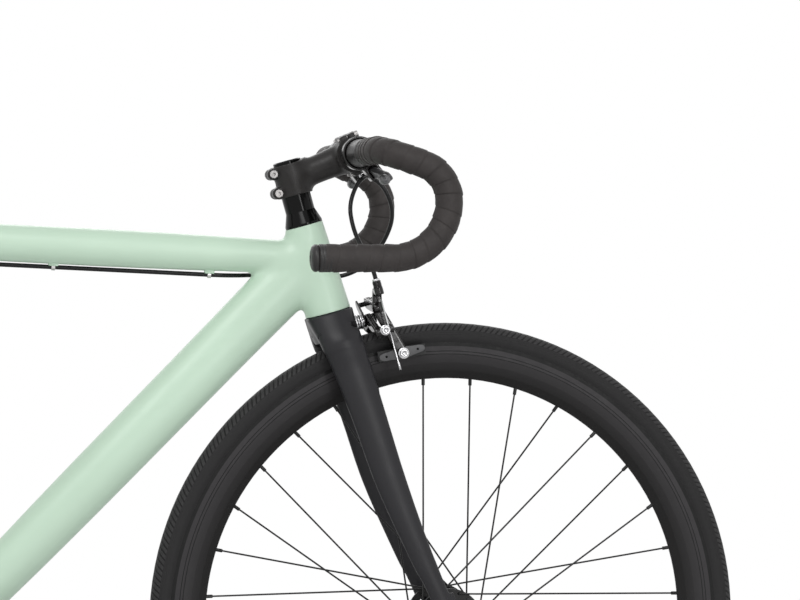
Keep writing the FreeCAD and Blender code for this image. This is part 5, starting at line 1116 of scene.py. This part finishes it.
class BIKE_OT_brakes(bpy.types.Operator):
    """Polished brake arms with pad holders, bolts, washers, inner wires and barrel adjusters"""

    bl_idname = "bike.brakes"
    bl_label = "Rim brakes"

    def execute(self, context):
        for word, axle, carrier in (("front", FRONT_AXLE, "steering"), ("rear", REAR_AXLE, "frame")):
            matrix = brake_frame(word)
            hub = matrix.inverted() @ axle
            pad_spot = Vector((PAD_OUT, 0, hub.z + math.sqrt(TRACK_R ** 2 - (PAD_OUT - hub.x) ** 2)))
            radial = (matrix @ pad_spot - axle).normalized()
            self.arms(word, matrix, pad_spot, radial)
            self.middle(word, carrier, matrix, radial)
        return {"FINISHED"}

    def arms(self, word, matrix, pad_spot, radial):
        """Both arms, with what is bolted to them."""
        to_frame = matrix.inverted()
        pad_at = matrix @ pad_spot
        across = matrix.to_3x3().col[1]
        pad_m = Matrix.Translation(pad_at) @ Matrix((across.cross(radial), across, radial)).transposed().to_4x4()

        def off_wire(point):
            local = to_frame @ point
            return math.hypot(local.x - BARREL_OUT, local.y - WIRE_Y) > OFF_WIRE

        def bolted(rows, spot, way, segments):
            return turned(rows, frame_at(matrix @ spot, way, radial), segments)

        for name, side, face in ARMS:
            place, way = "%s_%s_" % (word, name), across * side
            body, arm = place + "side", place + "arm"
            soft_piece(arm, arm + "_forging", "caliper", body, 0.0008, 6, off_wire)
            finished(pad_wing(pad_m, side), place + "wing", "holder", body)
            # Dark discs on the wing stand in for its holes, as painted shade.
            hole_shades = [turned(WING_HOLE_SHADE_ROWS, frame_at(pad_m @ WING_TURN @ Vector((x, side * (PAD_Y + 0.0021), 0)), way,
                                                radial), 20) for x in (-WING_HOLE_X, WING_HOLE_X)]
            finished(joined(hole_shades), place + "wing_holes", "dark", body)
            bolts = [bolted(washer(0.0064, 0.0014), pad_spot + SIDE * face, way, 32),
                     bolted(socket_head(0.0046, 0.0042), pad_spot + SIDE * (face + side * 0.0014), way, 32)]
            if name == "anchor":
                bolts += [bolted(washer(0.0060, 0.0016), ANCHOR - SIDE * 0.0040, -across, 36),
                          bolted(socket_head(0.0048, 0.0048), ANCHOR - SIDE * 0.0056, -across, 36)]
            finished(joined(bolts), place + "bolts", "silver", body)

    def middle(self, word, carrier, matrix, radial):
        """The brake's seat and pivot washers, its inner wire, and the barrel that the wire comes out of."""
        out = matrix.to_3x3().col[0]
        seat = softened(word + "_brake_mount", 0.0009, 4)
        if word == "front":
            trimmed(seat, matrix @ Vector((SEAT_CUT, 0, 0)), -out, 0.02, 0.03)
        finished(seat, word + "_brake_seat", "caliper", carrier, replaces=(word + "_brake_mount",))
        stack = [turned(pivot_washer(thick, radius), frame_at(matrix @ Vector((x, 0, 0)), out, radial))
                 for x, thick, radius in WASHERS]
        finished(joined(stack), word + "_washers", "silver", carrier)
        line = matrix @ Matrix.Translation((BARREL_OUT, WIRE_Y, 0))
        finished(turned(WIRE_ROWS, line, 16), word + "_inner_wire", "silver", word + "_anchor_side",
                 replaces=(word + "_brake_wire",))
        cable_side = word + "_cable_side"
        finished(turned(barrel_ribs(), line, 36), word + "_barrel", "caliper", cable_side)
        finished(turned(CAP_ROWS, line, 32), word + "_barrel_top", "silver", cable_side)


# Stage.

VIEW_FROM, VIEW_YAW, VIEW_PITCH = FRONT_AXLE + Vector((-0.757, -3.886, 0.412)), 10.29, -0.68
SKY_LIGHT, FLOOR_R, FLOOR_FADE, FLOOR_WHITE = 0.44, 3.1, (1.1, 2.7), (0.86, 0.86, 0.86)
# Place, target, width, height and power of each lamp.
LAMPS = {
    "key": ((-1.0, -3.0, 3.6), (0.2, 0, 0.6), 2.4, 1.6, 68),
    "strip": ((1.25, -3.2, 1.4), (0.4, 0, 0.6), 0.35, 2.4, 26),
    "back": ((0.4, 3.2, 2.6), (0.2, 0, 0.6), 3.0, 1.6, 30),
}


def camera_at(spot, yaw, pitch):
    data = bpy.data.cameras.new("view")
    data.lens, data.sensor_width, data.clip_end = size("focal"), 36.0, 100.0
    camera = placed("view", data)
    camera.location = spot
    camera.rotation_euler = (math.radians(90 + pitch), 0, math.radians(-yaw))
    bpy.context.scene.camera = camera


def lamp(name, spot, target, wide, tall, power):
    data = bpy.data.lights.new(name, "AREA")
    data.shape, data.size, data.size_y, data.energy = "RECTANGLE", wide, tall, power
    light = placed(name, data)
    light.location = spot
    light.rotation_euler = (Vector(target) - Vector(spot)).to_track_quat("-Z", "Y").to_euler()


def seen_white(tree):
    """One for rays from the camera, off mirrors and through glass, and zero for all other light."""
    path = tree.nodes.new("ShaderNodeLightPath")
    total = path.outputs["Is Camera Ray"]
    for other in ("Is Glossy Ray", "Is Transmission Ray"):
        either = tree.nodes.new("ShaderNodeMath")
        either.operation, either.use_clamp = "ADD", True
        tree.links.new(total, either.inputs[0])
        tree.links.new(path.outputs[other], either.inputs[1])
        total = either.outputs[0]
    return total


def mixed(tree, factor, first, second, output):
    """Shows a mix of two shaders on an output."""
    node = tree.nodes.new("ShaderNodeMixShader")
    for source, socket in zip((factor, first.outputs[0], second.outputs[0]), node.inputs):
        tree.links.new(source, socket)
    tree.links.new(node.outputs[0], tree.nodes[output].inputs["Surface"])


class BIKE_OT_stage(bpy.types.Operator):
    """Camera, soft studio light, white world and floor"""

    bl_idname = "bike.stage"
    bl_label = "Stage"

    def execute(self, context):
        scene = context.scene
        scene.view_settings.view_transform = "Standard"
        camera_at(VIEW_FROM, VIEW_YAW, VIEW_PITCH)
        scene.world = bpy.data.worlds.new("studio")
        scene.world.use_nodes = True
        tree = scene.world.node_tree
        sky, white = tree.nodes["Background"], tree.nodes.new("ShaderNodeBackground")
        sky.inputs["Strength"].default_value = SKY_LIGHT
        sky.inputs["Color"].default_value = white.inputs["Color"].default_value = (1, 1, 1, 1)
        mixed(tree, seen_white(tree), sky, white, "World Output")
        for name, settings in LAMPS.items():
            lamp(name, *settings)
        self.floor()
        return {"FINISHED"}

    def floor(self):
        """A pale round floor that keeps the shadow and runs out into the white round it."""
        bm = bmesh.new()
        bmesh.ops.create_circle(bm, cap_ends=True, segments=96, radius=FLOOR_R)
        floor = placed("floor", as_mesh(bm, "floor"))
        pale = Finish("floor_white", FLOOR_WHITE, 0.7, specular=0.2)
        tones = (tuple(c * k for c in FLOOR_WHITE) for k in (0.995, 1.005))
        pale.link(pale.mix(pale.noise(2, 3.0), *tones), pale.shader.inputs["Base Color"])
        away = pale.add("ShaderNodeVectorMath", operation="LENGTH")
        pale.link(pale.coords, away.inputs[0])
        fade = pale.math("MULTIPLY", pale.ranged(away.outputs["Value"], 0.0, 1.0, *FLOOR_FADE), seen_white(pale.tree))
        mixed(pale.tree, fade, pale.shader, pale.add("ShaderNodeEmission"), "Material Output")
        floor.data.materials.append(pale.material)


OPERATORS = [BIKE_OT_finishes, BIKE_OT_frame_skin, BIKE_OT_bar_tape, BIKE_OT_saddle,
             BIKE_OT_fork, BIKE_OT_stem, BIKE_OT_levers, BIKE_OT_brakes, BIKE_OT_cables, BIKE_OT_stage]


class BIKE_PT_panel(bpy.types.Panel):
    """Lists the steps that dress the bike"""

    bl_label = "Fixed Gear Bike"
    bl_idname = "BIKE_PT_panel"
    bl_space_type = "VIEW_3D"
    bl_region_type = "UI"
    bl_category = "Bike"

    def draw(self, context):
        for operator in OPERATORS:
            self.layout.operator(operator.bl_idname)
        for group in (context.scene.bike_colours, context.scene.bike_sizes):
            for key in group.__annotations__:
                self.layout.prop(group, key)


CLASSES = [BikeColours, BikeSizes, *OPERATORS, BIKE_PT_panel]


def register():
    for cls in CLASSES:
        bpy.utils.register_class(cls)
    bpy.types.Scene.bike_colours = PointerProperty(type=BikeColours)
    bpy.types.Scene.bike_sizes = PointerProperty(type=BikeSizes)


def unregister():
    del bpy.types.Scene.bike_colours, bpy.types.Scene.bike_sizes
    for cls in reversed(CLASSES):
        bpy.utils.unregister_class(cls)


def main():
    register()
    for operator in OPERATORS:
        group, step = operator.bl_idname.split(".")
        getattr(getattr(bpy.ops, group), step)()


if __name__ == "__main__":
    main()
